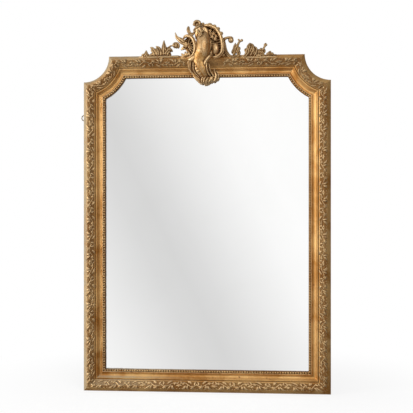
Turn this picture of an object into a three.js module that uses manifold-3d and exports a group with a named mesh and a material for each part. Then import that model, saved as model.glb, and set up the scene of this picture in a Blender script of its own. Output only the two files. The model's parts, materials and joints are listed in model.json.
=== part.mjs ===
// Trumeau mirror: a tall gilded frame with two concave upper corners, a row of beads round the
// glass, a relief band along the moulding and a carved rocaille crest that hangs over the top rail.
// Millimetres. X runs to the right, Z up, and the front faces -Y. The origin is under the middle
// of the bottom rail, on the plane of the carcass's back. Every height above that back plane is
// written f (forward), so a point lies at y = -f, and d is a distance inwards from the outer edge.

import * as THREE from 'three';
import { mergeVertices } from 'three/addons/utils/BufferGeometryUtils.js';
import Module from 'manifold-3d';

const wasm = await Module();
wasm.setup();

// ---------------------------------------------------------------- driving dimensions

const FRAME_WIDTH = 1060;
const FRAME_HEIGHT = 1441; // bottom rail to top rail, without the crest
const NOTCH_RADIUS = 110; // the concave quarter circles at the two upper corners
const MOULDING_WIDTH = 93;
const JOINT_GAP = 0.3; // left between pieces that touch

const CARCASS_DEPTH = 20;
const CARCASS_SETBACK = 4; // the moulding overhangs the carcass on the outside
const CARCASS_INNER_EDGE = 81; // d of the carcass's inner wall
const REBATE = { width: 12, depth: 9 }; // holds the backboards, at the carcass's inner back edge

const RIDGE_HEIGHT = 58.5; // f of the moulding's highest line
const GLASS_THICKNESS = 4;
const GLASS_EDGE = 83;

const BACKBOARD_COUNT = 6;
const BACKBOARD_THICKNESS = 8;
const BACKBOARD_GAP = 1;

const GLAZING_BLOCK = { length: 60, depth: 6.4 };

const BEAD_PITCH = 10.8;
const BEAD_SEAT = { from: 85, to: 92.4, height: 30 }; // the flat step that the beads stand on
const BEAD_HEIGHT = 7.4;

const BAND_SLOPE = { outer: [28, RIDGE_HEIGHT], inner: [50.5, 42] }; // [d, f] edges, inside the ridge
const BAND_GAP = 0.6; // under the relief, which is a little wider on the concave corners
const BAND_EDGE = [[17, 55.1], [20.6, 57.4], [24.4, 59], [28.3, 59.2]]; // its underside over the ridge
const BAND_MOTIF = { length: 78, steps: 3 }; // one flower and the leaves on its two sides
const BAND_BREAK = { left: -87, right: 74 }; // x of the relief's ends beside the crest's apron

const RING = { outerRadius: 14, wireRadius: 2.25, sides: 6, steps: 16 };
const RING_PROUD = 21; // how far the left ring shows past the frame's outer edge
const HANGER_HEIGHT = 1181;
const HANGER_PLATE = { length: 66, width: 28, tip: 13, thickness: 2.5, screwRadius: 2.2 };
const EYE = { height: 4, strap: 2.5, clearance: 0.75 };

// ---------------------------------------------------------------- derived values

const HALF_WIDTH = FRAME_WIDTH / 2;
const RING_LINE = RING.outerRadius - RING.wireRadius; // radius of the wire's centre line
const EYE_X = HALF_WIDTH + RING_PROUD - RING.outerRadius - RING_LINE;
const EYE_Y = JOINT_GAP + HANGER_PLATE.thickness + 0.6 + RING.wireRadius;
const CREST_BACK = CARCASS_DEPTH;
const REBATE_EDGE = CARCASS_INNER_EDGE - REBATE.width;
const { lerp } = THREE.MathUtils;

// ---------------------------------------------------------------- materials

const finish = (color, roughness, metalness) => new THREE.MeshStandardMaterial({
  color,
  roughness,
  metalness,
  flatShading: true,
});
const GILT = finish(0xc39a5c, 0.42, 0.75);
const GILT_RELIEF = finish(0xb28749, 0.5, 0.7);
const PINE = finish(0x9a7748, 0.85, 0);
const SILVERED_GLASS = finish(0xe6e9ea, 0.05, 1);
const IRON = finish(0x6f6a63, 0.6, 0.8);

// ---------------------------------------------------------------- solids

/** A closed geometry from corners and faces, turned so that its faces point out. */
function solid(corners, faces) {
  const volume = faces.reduce((sum, [a, b, c]) => {
    const [p, q, r] = [corners[a], corners[b], corners[c]].map((v) => new THREE.Vector3(...v));
    return sum + p.dot(q.cross(r));
  }, 0);
  const outward = volume > 0 ? faces : faces.map(([a, b, c]) => [a, c, b]);
  const geometry = new THREE.BufferGeometry();
  geometry.setAttribute('position', new THREE.Float32BufferAttribute(corners.flat(), 3));
  geometry.setIndex(outward.flat());
  return geometry;
}

/** Triangles over a flat outline, wound the way the outline runs. */
function capFaces(outline) {
  const points = outline.map(([a, b]) => new THREE.Vector2(a, b));
  const faces = THREE.ShapeUtils.triangulateShape(points, []);
  const turn = faces.reduce((sum, face) => sum + THREE.ShapeUtils.area(face.map((i) => points[i])), 0);
  const sameWay = Math.sign(turn) === Math.sign(THREE.ShapeUtils.area(points));
  return sameWay ? faces : faces.map(([a, b, c]) => [a, c, b]);
}

/** A skin over rings of equal point count, closed at both ends by their cap outlines. */
function loft(rings, firstCap, lastCap = firstCap) {
  const count = rings[0].length;
  const faces = [];
  for (let ring = 0; ring < rings.length - 1; ring += 1) {
    for (let point = 0; point < count; point += 1) {
      const next = (point + 1) % count;
      const [a, b] = [ring * count + point, ring * count + next];
      faces.push([a, b, b + count], [a, b + count, a + count]);
    }
  }
  const lastRing = (rings.length - 1) * count;
  capFaces(firstCap).forEach(([a, b, c]) => faces.push([a, c, b]));
  capFaces(lastCap).forEach(([a, b, c]) => faces.push([a + lastRing, b + lastRing, c + lastRing]));
  return solid(rings.flat(), faces);
}

/** A closed geometry as a solid that can be joined and cut. */
function toManifold(geometry) {
  const bare = geometry.clone();
  bare.deleteAttribute('normal');
  bare.deleteAttribute('uv');
  const merged = mergeVertices(bare, 1e-3);
  return new wasm.Manifold(new wasm.Mesh({
    numProp: 3,
    vertProperties: new Float32Array(merged.attributes.position.array),
    triVerts: new Uint32Array(merged.index.array),
  }));
}

/** The geometry of a joined or cut solid. */
function toGeometry(manifold) {
  const { vertProperties, triVerts } = manifold.getMesh();
  const geometry = new THREE.BufferGeometry();
  geometry.setAttribute('position', new THREE.BufferAttribute(vertProperties, 3));
  geometry.setIndex(new THREE.BufferAttribute(triVerts, 1));
  return geometry;
}

const join = (geometries) => geometries.map(toManifold).reduce((whole, part) => whole.add(part));

/** A box between two corners given as [x, f, z]. */
function block([x0, f0, z0], [x1, f1, z1]) {
  const geometry = new THREE.BoxGeometry(x1 - x0, f1 - f0, z1 - z0);
  return geometry.translate((x0 + x1) / 2, -(f0 + f1) / 2, (z0 + z1) / 2);
}

/** A flat outline in X and Z, given thickness from f = back to f = front. */
function plate(shape, back, front, curveSegments = 8) {
  const geometry = new THREE.ExtrudeGeometry(shape, {
    depth: front - back,
    bevelEnabled: false,
    curveSegments,
  });
  return geometry.rotateX(Math.PI / 2).translate(0, -back, 0);
}

// ---------------------------------------------------------------- the frame's six runs

/** Distance from a notch's centre to the mitre at d, measured along the stile or rail. */
const mitreReach = (d) => Math.sqrt(NOTCH_RADIUS ** 2 + 2 * NOTCH_RADIUS * d);

/** A run turned over left to right. */
const mirrored = (run) => ({
  ...run,
  at: (t, d) => {
    const [x, z] = run.at(t, d);
    return [-x, z];
  },
});

const leftStile = {
  length: FRAME_HEIGHT - NOTCH_RADIUS,
  steps: 1,
  at: (t, d) => [d - HALF_WIDTH, lerp(d, FRAME_HEIGHT - mitreReach(d), t)],
};
const leftCorner = {
  length: NOTCH_RADIUS * Math.PI / 2,
  steps: 7,
  at: (t, d) => {
    const radius = NOTCH_RADIUS + d;
    const mitre = Math.asin(d / radius);
    const angle = lerp(mitre - Math.PI / 2, -mitre, t);
    return [radius * Math.cos(angle) - HALF_WIDTH, FRAME_HEIGHT + radius * Math.sin(angle)];
  },
};
const topRail = {
  length: FRAME_WIDTH - 2 * NOTCH_RADIUS,
  steps: 1,
  at: (t, d) => [lerp(-1, 1, t) * (HALF_WIDTH - mitreReach(d)), FRAME_HEIGHT - d],
};
const bottomRail = {
  length: FRAME_WIDTH,
  steps: 1,
  at: (t, d) => [lerp(-1, 1, t) * (HALF_WIDTH - d), d],
};
const RUNS = {
  stile_left: leftStile,
  corner_left: leftCorner,
  rail_top: topRail,
  corner_right: mirrored(leftCorner),
  stile_right: mirrored(leftStile),
  rail_bottom: bottomRail,
};

/** A section of [d, f] points carried along a run, its ends cut on the mitres. */
function sweep(run, sectionAt, steps = run.steps, from = 0, to = 1) {
  const trim = JOINT_GAP / run.length;
  const rings = [];
  for (let step = 0; step <= steps; step += 1) {
    const t = lerp(from + trim, to - trim, step / steps);
    rings.push(sectionAt(t).map(([d, f]) => {
      const [x, z] = run.at(t, d);
      return [x, -f, z];
    }));
  }
  return loft(rings, sectionAt(from), sectionAt(to));
}

// ---------------------------------------------------------------- sections

/** The hollow between the relief and the beads, a sine-shaped cove between two [d, f] points. */
const COVE = { from: [58, 41.2], to: [82.4, 36.2], depth: 9.8, steps: 7 };
const coveLine = Array.from({ length: COVE.steps + 1 }, (_, i) => {
  const s = i / COVE.steps;
  return [
    lerp(COVE.from[0], COVE.to[0], s),
    lerp(COVE.from[1], COVE.to[1], s) - COVE.depth * Math.sin(Math.PI * s),
  ];
});

const OUTER_SLOPE = [[0, 35], [2.5, 38.5], [8, 46], [14, 52], [20, 56.4], [24.5, 58.3]];
const QUIRK = [[51.4, 39.5], [53.6, 39.5]]; // the narrow groove between the relief and the cove
const COVE_LIPS = [[54.2, 41.3], [83, 36.6], [84, 36.1]];

const MOULDING_SECTION = [
  [0, CARCASS_DEPTH],
  ...OUTER_SLOPE,
  BAND_SLOPE.outer,
  BAND_SLOPE.inner,
  ...QUIRK,
  COVE_LIPS[0],
  ...coveLine,
  COVE_LIPS[1], COVE_LIPS[2], [84.5, 35.4],
  [84.5, BEAD_SEAT.height], [BEAD_SEAT.to, BEAD_SEAT.height], [MOULDING_WIDTH, 29.4],
  [MOULDING_WIDTH, CARCASS_DEPTH],
];

const CARCASS_SECTION = [
  [CARCASS_SETBACK, 0],
  [CARCASS_SETBACK, CARCASS_DEPTH - JOINT_GAP],
  [CARCASS_INNER_EDGE, CARCASS_DEPTH - JOINT_GAP],
  [CARCASS_INNER_EDGE, REBATE.depth],
  [REBATE_EDGE, REBATE.depth],
  [REBATE_EDGE, 0],
];

/** A section pushed out by a margin along its corners' mean normals. */
function grown(section, margin) {
  const turn = Math.sign(THREE.ShapeUtils.area(section.map(([d, f]) => new THREE.Vector2(d, f))));
  const normal = ([d0, f0], [d1, f1]) => new THREE.Vector2(f1 - f0, d0 - d1).normalize();
  return section.map((point, i) => {
    const before = section[(i + section.length - 1) % section.length];
    const after = section[(i + 1) % section.length];
    const mean = normal(before, point).add(normal(point, after)).normalize();
    return [point[0] + turn * margin * 1.3 * mean.x, point[1] + turn * margin * 1.3 * mean.y];
  });
}

// ---------------------------------------------------------------- relief band

/**
 * The relief's section: it lies over the moulding's ridge and down the slope inside it, and
 * swells into ridges in turn, a half motif apart, between wavy edges.
 */
function bandSection(phase) {
  const [outer, inner] = [BAND_SLOPE.outer, BAND_SLOPE.inner];
  const width = Math.hypot(inner[0] - outer[0], inner[1] - outer[1]);
  const along = [(inner[0] - outer[0]) / width, (inner[1] - outer[1]) / width];
  const up = [-along[1], along[0]];
  const wave = (shift) => Math.cos(phase - shift * Math.PI / 2);
  const onSlope = ([s, h]) => [outer[0] + along[0] * s + up[0] * h, outer[1] + along[1] * s + up[1] * h];
  const slope = [
    [width - 0.5, BAND_GAP],
    [width - 0.8 - 1.2 * (1 - wave(-1)), 2.2],
    [width * 0.68, 4.4 + 2.2 * wave(-1)],
    [width * 0.26, 4.6 + 2 * wave(1)],
  ];
  const overRidge = [
    [25.5, 62 + 1.2 * wave(1)],
    [19.5 + 1.5 * wave(-1), 59.8 + wave(-1)],
    [16.8, 56.4],
  ];
  return [...BAND_EDGE, ...slope.map(onSlope), ...overRidge];
}

/** One strip of relief on a run, between two fractions of its length. */
function band(run, from = 0, to = 1) {
  const bedLength = (to - from) * (run.length - MOULDING_WIDTH / 2);
  const motifs = Math.max(1, Math.round(bedLength / BAND_MOTIF.length));
  const steps = run.steps > 1 ? run.steps : motifs * BAND_MOTIF.steps;
  const turns = 2 * Math.PI * motifs;
  return sweep(run, (t) => bandSection(turns * (t - from) / (to - from)), steps, from, to);
}

// ---------------------------------------------------------------- beads

const BEADS_PER_FOOT = 12; // beads between two corners of a strip's underside

/** A strip of beads on a run: four-sided points on a thin foot, joined neck to neck. */
function beadStrip(run, beadsPerFoot = BEADS_PER_FOOT) {
  const middle = (BEAD_SEAT.from + BEAD_SEAT.to) / 2;
  const [start, end] = [run.at(0, middle), run.at(1, middle)];
  const chord = Math.hypot(end[0] - start[0], end[1] - start[1]);
  const arc = run.steps > 1 ? 1.02 : 1; // the short corner runs bow a little past their chord
  const count = Math.round(chord * arc / BEAD_PITCH);
  const foot = BEAD_SEAT.height + JOINT_GAP;
  const neck = foot + 1.4;
  const trim = JOINT_GAP / run.length;
  const corners = [];
  const faces = [];
  const corner = (t, d, f) => {
    const [x, z] = run.at(lerp(trim, 1 - trim, t), d);
    return corners.push([x, -f, z]) - 1;
  };
  const necks = Array.from({ length: count + 1 }, (_, i) => [
    corner(i / count, BEAD_SEAT.from, neck),
    corner(i / count, BEAD_SEAT.to, neck),
  ]);
  necks.slice(1).forEach(([farA, farB], i) => {
    const [nearA, nearB] = necks[i];
    const tip = corner((i + 0.5) / count, middle, foot + BEAD_HEIGHT);
    faces.push([nearA, nearB, tip], [nearB, farB, tip], [farB, farA, tip], [farA, nearA, tip]);
  });
  let [nearA, nearB] = [corner(0, BEAD_SEAT.from, foot), corner(0, BEAD_SEAT.to, foot)];
  faces.push([nearA, nearB, necks[0][1]], [nearA, necks[0][1], necks[0][0]]);
  for (let first = 0; first < count; first += beadsPerFoot) {
    const last = Math.min(first + beadsPerFoot, count);
    const farA = corner(last / count, BEAD_SEAT.from, foot);
    const farB = corner(last / count, BEAD_SEAT.to, foot);
    for (let i = first; i < last; i += 1) {
      faces.push([nearA, necks[i][0], necks[i + 1][0]], [nearB, necks[i + 1][1], necks[i][1]]);
    }
    faces.push([nearA, necks[last][0], farA], [nearB, farB, necks[last][1]]);
    faces.push([nearA, farA, farB], [nearA, farB, nearB]);
    [nearA, nearB] = [farA, farB];
  }
  faces.push([nearB, nearA, necks[count][0]], [nearB, necks[count][0], necks[count][1]]);
  return solid(corners, faces);
}

// ---------------------------------------------------------------- glass and back

/** The frame's outline at distance d as a flat shape in X and Z, with its lower edge at bottom. */
function outlineAt(d, bottom = d) {
  const arc = Array.from({ length: leftCorner.steps + 1 }, (_, i) => leftCorner.at(i / leftCorner.steps, d));
  const left = [[d - HALF_WIDTH, bottom], ...arc];
  const right = left.map(([x, z]) => [-x, z]).reverse();
  return new THREE.Shape([...left, ...right].map(([x, z]) => new THREE.Vector2(x, z)));
}

function mirrorPlate() {
  const front = CARCASS_DEPTH - JOINT_GAP;
  return plate(outlineAt(GLASS_EDGE), front - GLASS_THICKNESS, front);
}

/** Six boards across the back; the top one is cut round the concave corners. */
function backboards() {
  const edge = REBATE_EDGE + BACKBOARD_GAP;
  const pitch = (FRAME_HEIGHT - 2 * edge + BACKBOARD_GAP) / BACKBOARD_COUNT;
  const back = REBATE.depth - JOINT_GAP - BACKBOARD_THICKNESS;
  return Array.from({ length: BACKBOARD_COUNT }, (_, i) => {
    const bottom = edge + i * pitch;
    if (i === BACKBOARD_COUNT - 1) {
      return plate(outlineAt(edge, bottom), back, back + BACKBOARD_THICKNESS);
    }
    const side = HALF_WIDTH - edge;
    const top = bottom + pitch - BACKBOARD_GAP;
    return block([-side, back, bottom], [side, back + BACKBOARD_THICKNESS, top]);
  });
}

/** Small blocks between the glass and the backboards that press the glass forward. */
function glazingBlocks() {
  const [near, far] = [CARCASS_INNER_EDGE + JOINT_GAP, MOULDING_WIDTH];
  const back = REBATE.depth;
  const front = back + GLAZING_BLOCK.depth;
  const half = GLAZING_BLOCK.length / 2;
  const alongStile = [320, 690, 1060].flatMap((z) => [
    block([near - HALF_WIDTH, back, z - half], [far - HALF_WIDTH, front, z + half]),
    block([HALF_WIDTH - far, back, z - half], [HALF_WIDTH - near, front, z + half]),
  ]);
  const alongRail = [[near, far], [FRAME_HEIGHT - far, FRAME_HEIGHT - near]].map(
    ([low, high]) => block([-half, back, low], [half, front, high]),
  );
  return [...alongStile, ...alongRail];
}

// ---------------------------------------------------------------- hanging plates and rings

/** A hanging plate with its eye at the origin of X and Z, reaching to +X. */
function hangerPlate() {
  const { length, width, tip, thickness, screwRadius } = HANGER_PLATE;
  const wire = RING.wireRadius + EYE.clearance;
  const nose = -(wire + EYE.strap + 0.5);
  const outline = new THREE.Shape();
  outline.moveTo(nose, -tip / 2);
  outline.lineTo(nose + length * 0.3, -width / 2);
  outline.lineTo(nose + length - 8, -width / 2);
  outline.quadraticCurveTo(nose + length, -width / 2, nose + length, 0);
  outline.quadraticCurveTo(nose + length, width / 2, nose + length - 8, width / 2);
  outline.lineTo(nose + length * 0.3, width / 2);
  outline.lineTo(nose, tip / 2);
  outline.closePath();
  outline.holes = [[20, 0], [38, -7], [38, 7]].map(([x, z]) => {
    const hole = new THREE.Path();
    hole.absarc(x, z, screwRadius, 0, 2 * Math.PI, true);
    return hole;
  });
  const strap = new THREE.Shape();
  strap.moveTo(-wire - EYE.strap, JOINT_GAP + 0.5);
  strap.lineTo(-wire - EYE.strap, EYE_Y);
  strap.absarc(0, EYE_Y, wire + EYE.strap, Math.PI, 0, true);
  strap.lineTo(wire + EYE.strap, JOINT_GAP + 0.5);
  strap.lineTo(wire, JOINT_GAP + 0.5);
  strap.lineTo(wire, EYE_Y);
  strap.absarc(0, EYE_Y, wire, 0, Math.PI, false);
  strap.lineTo(-wire, JOINT_GAP + 0.5);
  strap.closePath();
  const eye = new THREE.ExtrudeGeometry(strap, { depth: EYE.height, bevelEnabled: false, curveSegments: 4 });
  eye.translate(0, 0, -EYE.height / 2);
  const body = plate(outline, -JOINT_GAP - thickness, -JOINT_GAP, 3);
  return toGeometry(join([body, eye]));
}

/** A ring of round wire that lies flat, its centre at the origin. */
function hangingRing() {
  const section = Array.from({ length: RING.sides + 1 }, (_, i) => {
    const angle = 2 * Math.PI * i / RING.sides;
    return new THREE.Vector2(
      RING_LINE + RING.wireRadius * Math.cos(angle),
      RING.wireRadius * Math.sin(angle),
    );
  });
  return new THREE.LatheGeometry(section, RING.steps);
}

// ---------------------------------------------------------------- carving

// Unit sections of a carved stroke: [across, forward], both from -1 to 1.
const polygon = (sides) => Array.from({ length: sides }, (_, i) => {
  const angle = 2 * Math.PI * i / sides;
  return [Math.cos(angle), Math.sin(angle)];
});
const ROUND = polygon(6);
const FULL = polygon(10);
const LEAF = [[1, 0], [0.5, 0.95], [0, 0.4], [-0.5, 0.95], [-1, 0], [0, -0.9]];

/**
 * A carved stroke: a section carried along a smooth line through points [x, z, f, across, forward],
 * the last two being its half sizes there. A margin makes it that much larger all round.
 */
function stroke(section, points, margin = 0, steps = Math.max(4, points.length - 1)) {
  const through = (vectors) => new THREE.CatmullRomCurve3(vectors, false, 'catmullrom');
  const line = through(points.map(([x, z, f]) => new THREE.Vector3(x, z, f)));
  const size = through(points.map(([, , , across, forward]) => new THREE.Vector3(across, forward, 0)));
  const rings = Array.from({ length: steps + 1 }, (_, i) => {
    const t = i / steps;
    const centre = line.getPoint(t);
    const along = line.getTangent(t);
    const endPush = (i === 0 ? -1 : 0) + (i === steps ? 1 : 0);
    centre.addScaledVector(along, endPush * margin);
    const across = new THREE.Vector2(-along.y, along.x).normalize();
    const { x: half, y: rise } = size.getPoint(t);
    return section.map(([a, b]) => [
      centre.x + across.x * a * (half + margin),
      -(centre.z + b * (rise + margin)),
      centre.y + across.y * a * (half + margin),
    ]);
  });
  return loft(rings, section);
}

/** A flower: lobed rings that rise to a round heart, as [reach, rise, lobe] shares of its radius. */
function flower([x, z, f, radius], petals = 5, margin = 0) {
  const count = petals * 2;
  const profile = [[0.5, -0.62, 0], [0.97, 0.05, 0.16], [0.58, 0.42, 0.1], [0.2, 0.46, 0]];
  const rings = profile.map(([reach, rise, lobe]) => Array.from({ length: count }, (_, i) => {
    const angle = 2 * Math.PI * i / count;
    const r = radius * reach * (1 + lobe * Math.cos(petals * angle)) + margin;
    return [x + r * Math.cos(angle), -(f + rise * radius + Math.sign(rise) * margin), z + r * Math.sin(angle)];
  }));
  return loft(rings, polygon(count));
}

/** A ball or button of the given radius. */
const knob = ([x, z, f, radius], margin = 0, steps = 2) => {
  const heights = [-0.8, 0, 0.8];
  const points = heights.map((height) => {
    const across = radius * (height === 0 ? 1 : 0.64);
    return [x, z + height * radius, f, across, across];
  });
  return stroke(ROUND, points, margin, steps);
};

/** The crest's carved pieces, each a list of strokes and flowers; x is measured as on the frame. */
const CREST = {
  crest_cartouche: (m) => [
    // The swelling body, which runs down into the shell-shaped apron.
    stroke(FULL, [
      [-23, 1551, 50, 10, 12], [-20, 1529, 54, 24, 24], [-14, 1493, 57, 30, 32], [-12, 1467, 57, 29, 32],
      [-17, 1440, 54, 28, 27], [-25, 1421, 51, 40, 23], [-23, 1403, 50, 48, 21], [-19, 1377, 47, 48, 19],
      [-4, 1352, 45, 46, 16], [8, 1332, 43, 36, 13], [6, 1316, 41, 16, 9],
    ], m),
    // The bright S-shaped edge on the apron's right and the scroll in its shade.
    stroke(ROUND, [
      [22, 1440, 62, 6, 14], [10, 1416, 62, 7, 16], [3, 1387, 62, 7, 16], [11, 1358, 56, 7, 14], [28, 1345, 50, 7, 12],
      [46, 1339, 46, 5, 8],
    ], m, 9),
    stroke(ROUND, [
      [20, 1428, 50, 6, 13], [29, 1400, 53, 6, 14], [32, 1376, 51, 6, 14], [46, 1352, 46, 7, 12], [48, 1334, 43, 5, 8],
      [36, 1324, 42, 4, 6],
    ], m, 8),
    // The apron's left rim and the two folds inside it.
    stroke(ROUND, [
      [-75, 1425, 49, 5, 11], [-77, 1403, 50, 6, 12], [-67, 1378, 48, 6, 12], [-51, 1353, 44, 6, 11],
      [-30, 1334, 42, 6, 9], [-14, 1324, 41, 5, 7],
    ], m, 8),
    stroke(ROUND, [[-56, 1407, 60, 4, 11], [-56, 1384, 60, 4, 11], [-45, 1360, 55, 4, 10], [-25, 1341, 48, 4, 8]], m, 5),
    stroke(ROUND, [[-43, 1401, 63, 4, 9], [-43, 1380, 63, 4, 9], [-32, 1360, 58, 4, 9], [-15, 1342, 51, 4, 8]], m, 5),
    // The volute and the curled tips of the apron.
    knob([-30, 1413, 68, 9], m, 4),
    stroke(ROUND, [[-15, 1341, 50, 5, 9], [-11, 1326, 50, 5, 9], [-6, 1314, 45, 4, 6]], m, 3),
    stroke(ROUND, [[5, 1341, 51, 5, 9], [9, 1327, 51, 5, 9], [10, 1315, 45, 4, 5]], m, 3),
    stroke(ROUND, [[26, 1343, 49, 5, 9], [30, 1331, 48, 5, 9], [28, 1322, 44, 3, 5]], m, 3),
  ],
  crest_shell_left: (m) => [
    // The C-shaped rim over a hollow shell, with a flower in its mouth.
    stroke(ROUND, [
      [-95, 1516, 38, 3, 8], [-77, 1525, 42, 4, 13], [-59, 1513, 46, 4, 17], [-44, 1489, 48, 5, 19],
      [-39, 1461, 48, 5, 19], [-49, 1439, 46, 4, 17], [-64, 1429, 42, 4, 14], [-80, 1431, 39, 3, 8],
    ], m, 11),
    stroke(LEAF, [[-75, 1524, 33, 12, 9], [-71, 1494, 32, 27, 10], [-71, 1464, 32, 27, 10], [-73, 1434, 34, 16, 9]], m),
    flower([-85, 1485, 46, 12], 5, m),
    // The horn-like leaf and the lobed leaf below it.
    stroke(LEAF, [
      [-86, 1487, 40, 9, 9], [-106, 1501, 42, 9, 8], [-122, 1513, 41, 7, 7], [-131, 1528, 38, 4, 5],
      [-135, 1539, 36, 1.5, 2],
    ], m, 6),
    stroke(LEAF, [[-72, 1433, 42, 9, 9], [-88, 1444, 44, 13, 10], [-98, 1459, 43, 9, 8], [-104, 1470, 41, 3, 3]], m),
    stroke(LEAF, [[-87, 1464, 36, 6, 6], [-99, 1469, 36, 6, 6], [-109, 1468, 35, 3, 3]], m),
  ],
  crest_shell_right: (m) => [
    // The large C-shaped rim, the hollow behind it and the smooth boss in the hollow.
    stroke(ROUND, [
      [-10, 1560, 46, 5, 14], [18, 1566, 46, 5, 17], [44, 1555, 46, 6, 19], [62, 1534, 47, 6, 21], [74, 1505, 47, 6, 22],
      [78, 1477, 47, 6, 22], [72, 1451, 46, 6, 21], [58, 1435, 45, 6, 18], [42, 1429, 44, 5, 15], [26, 1435, 43, 4, 12],
    ], m, 14),
    stroke(LEAF, [
      [9, 1560, 34, 14, 10], [25, 1532, 33, 38, 12], [33, 1494, 33, 44, 12], [31, 1459, 33, 40, 11],
      [31, 1435, 34, 24, 10],
    ], m),
    stroke(FULL, [[41, 1506, 44, 9, 6], [41, 1484, 47, 15, 12], [39, 1460, 47, 13, 11], [36, 1447, 44, 6, 6]], m, 3),
    ...[[15, 1541], [39, 1536], [24, 1520]].map(([x, z]) => flower([x, z, 48, 11], 5, m)),
    // Leafy bumps along the rim's back, and the ball-ended scroll that springs from it.
    ...[[28, 1569], [45, 1560], [61, 1545], [72, 1526]].map(([x, z]) => knob([x, z, 44, 8], m)),
    stroke(ROUND, [[69, 1499, 40, 5, 9], [85, 1510, 42, 5, 9], [101, 1512, 43, 5, 9], [109, 1506, 43, 5, 9]], m, 6),
    knob([106, 1501, 45, 12], m, 4),
  ],
  crest_finial: (m) => [
    stroke(ROUND, [[-34, 1547, 44, 10, 10], [-34, 1560, 46, 9, 9], [-36, 1572, 46, 6, 7]], m),
    flower([-36, 1576, 48, 13], 5, m),
    stroke(ROUND, [[-33, 1555, 52, 6, 7], [-19, 1560, 54, 7, 7], [-9, 1570, 52, 5, 6]], m),
    stroke(LEAF, [[-46, 1532, 42, 9, 9], [-60, 1538, 43, 9, 8], [-71, 1550, 42, 7, 6], [-76, 1566, 40, 2, 3]], m),
    stroke(ROUND, [[-44, 1527, 46, 8, 9], [-40, 1542, 50, 10, 10], [-33, 1556, 48, 8, 8]], m),
    flower([-15, 1529, 80, 12], 6, m),
    stroke(ROUND, [[-33, 1555, 54, 6, 7], [-21, 1543, 70, 6, 8], [-15, 1531, 78, 6, 6]], m),
  ],
  crest_spray_left: (m) => [
    // A low vine along the rail, with a berry, leaves and a bud on a curved stem.
    stroke(ROUND, [
      [-280, 1442, 34, 4, 8], [-257, 1444, 36, 8, 12], [-211, 1445, 38, 10, 14], [-173, 1444, 38, 10, 14],
      [-135, 1441, 37, 7, 12], [-102, 1441, 37, 8, 12],
    ], m),
    flower([-257, 1449, 44, 14], 5, m),
    flower([-206, 1456, 46, 15], 5, m),
    stroke(LEAF, [[-265, 1451, 38, 6, 6], [-259, 1460, 38, 6, 6], [-256, 1469, 36, 2, 3]], m),
    stroke(LEAF, [[-207, 1450, 38, 10, 9], [-220, 1467, 40, 9, 8], [-231, 1477, 38, 5, 5], [-238, 1486, 36, 2, 2]], m),
    stroke(LEAF, [[-207, 1455, 38, 9, 8], [-209, 1473, 38, 8, 7], [-211, 1487, 36, 2, 2]], m),
    stroke(LEAF, [[-174, 1442, 40, 9, 9], [-178, 1462, 41, 11, 9], [-181, 1484, 39, 8, 6], [-180, 1508, 37, 1.5, 2]], m),
    stroke(LEAF, [[-170, 1444, 44, 7, 7], [-161, 1457, 45, 8, 7], [-154, 1472, 42, 2, 3]], m),
    stroke(LEAF, [[-175, 1445, 46, 7, 7], [-189, 1455, 46, 7, 7], [-197, 1470, 43, 2, 3]], m),
    stroke(ROUND, [[-165, 1453, 38, 5, 6], [-152, 1472, 38, 4, 5], [-138, 1484, 38, 4, 5], [-128, 1486, 39, 6, 6],
      [-124, 1478, 39, 8, 7], [-124, 1469, 38, 3, 3]], m),
  ],
  crest_spray_right: (m) => [
    // A U-shaped scroll and the veined leaves that spring from it.
    stroke(ROUND, [
      [81, 1491, 38, 5, 9], [87, 1467, 41, 7, 10], [96, 1447, 43, 8, 11], [113, 1436, 44, 8, 11], [132, 1436, 43, 7, 10],
      [144, 1446, 42, 6, 8], [147, 1458, 40, 3, 4],
    ], m, 10),
    stroke(LEAF, [[115, 1440, 42, 7, 7], [127, 1462, 42, 7, 7], [139, 1488, 40, 5, 6], [147, 1502, 39, 3, 4]], m),
    flower([150, 1503, 40, 8], 3, m),
    stroke(LEAF, [[127, 1440, 44, 6, 7], [139, 1455, 44, 6, 7], [148, 1476, 41, 2, 3]], m),
  ],
  crest_acanthus: (m) => [
    stroke(LEAF, [
      [139, 1430, 40, 7, 9], [155, 1437, 42, 10, 11], [166, 1455, 43, 11, 11], [174, 1475, 42, 9, 9],
      [184, 1489, 40, 6, 6], [194, 1491, 38, 2, 3],
    ], m),
    stroke(LEAF, [
      [163, 1434, 40, 9, 10], [182, 1447, 42, 11, 10], [196, 1465, 41, 9, 8], [207, 1473, 39, 5, 5], [212, 1467, 37, 2, 3],
    ], m),
    stroke(LEAF, [[174, 1433, 38, 8, 9], [194, 1438, 39, 9, 9], [210, 1449, 38, 5, 6], [217, 1456, 36, 2, 3]], m),
  ],
  crest_bouquet: (m) => [
    stroke(ROUND, [
      [210, 1434, 34, 5, 9], [230, 1438, 37, 9, 13], [259, 1438, 37, 9, 13], [283, 1435, 36, 8, 12],
      [305, 1434, 34, 5, 8], [320, 1435, 32, 2, 4],
    ], m),
    ...[[227, 1452, 13], [245, 1462, 12], [261, 1450, 12], [241, 1441, 12], [279, 1443, 12]].map(
      ([x, z, r]) => flower([x, z, 44, r], 5, m),
    ),
    stroke(LEAF, [[242, 1465, 38, 4, 5], [249, 1479, 38, 8, 7], [250, 1489, 37, 4, 4]], m),
    stroke(LEAF, [[259, 1459, 37, 4, 5], [265, 1469, 37, 6, 5], [267, 1477, 36, 2, 2]], m),
    stroke(LEAF, [[285, 1439, 38, 7, 7], [299, 1440, 37, 6, 6], [311, 1439, 35, 2, 3]], m),
  ],
};

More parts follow.
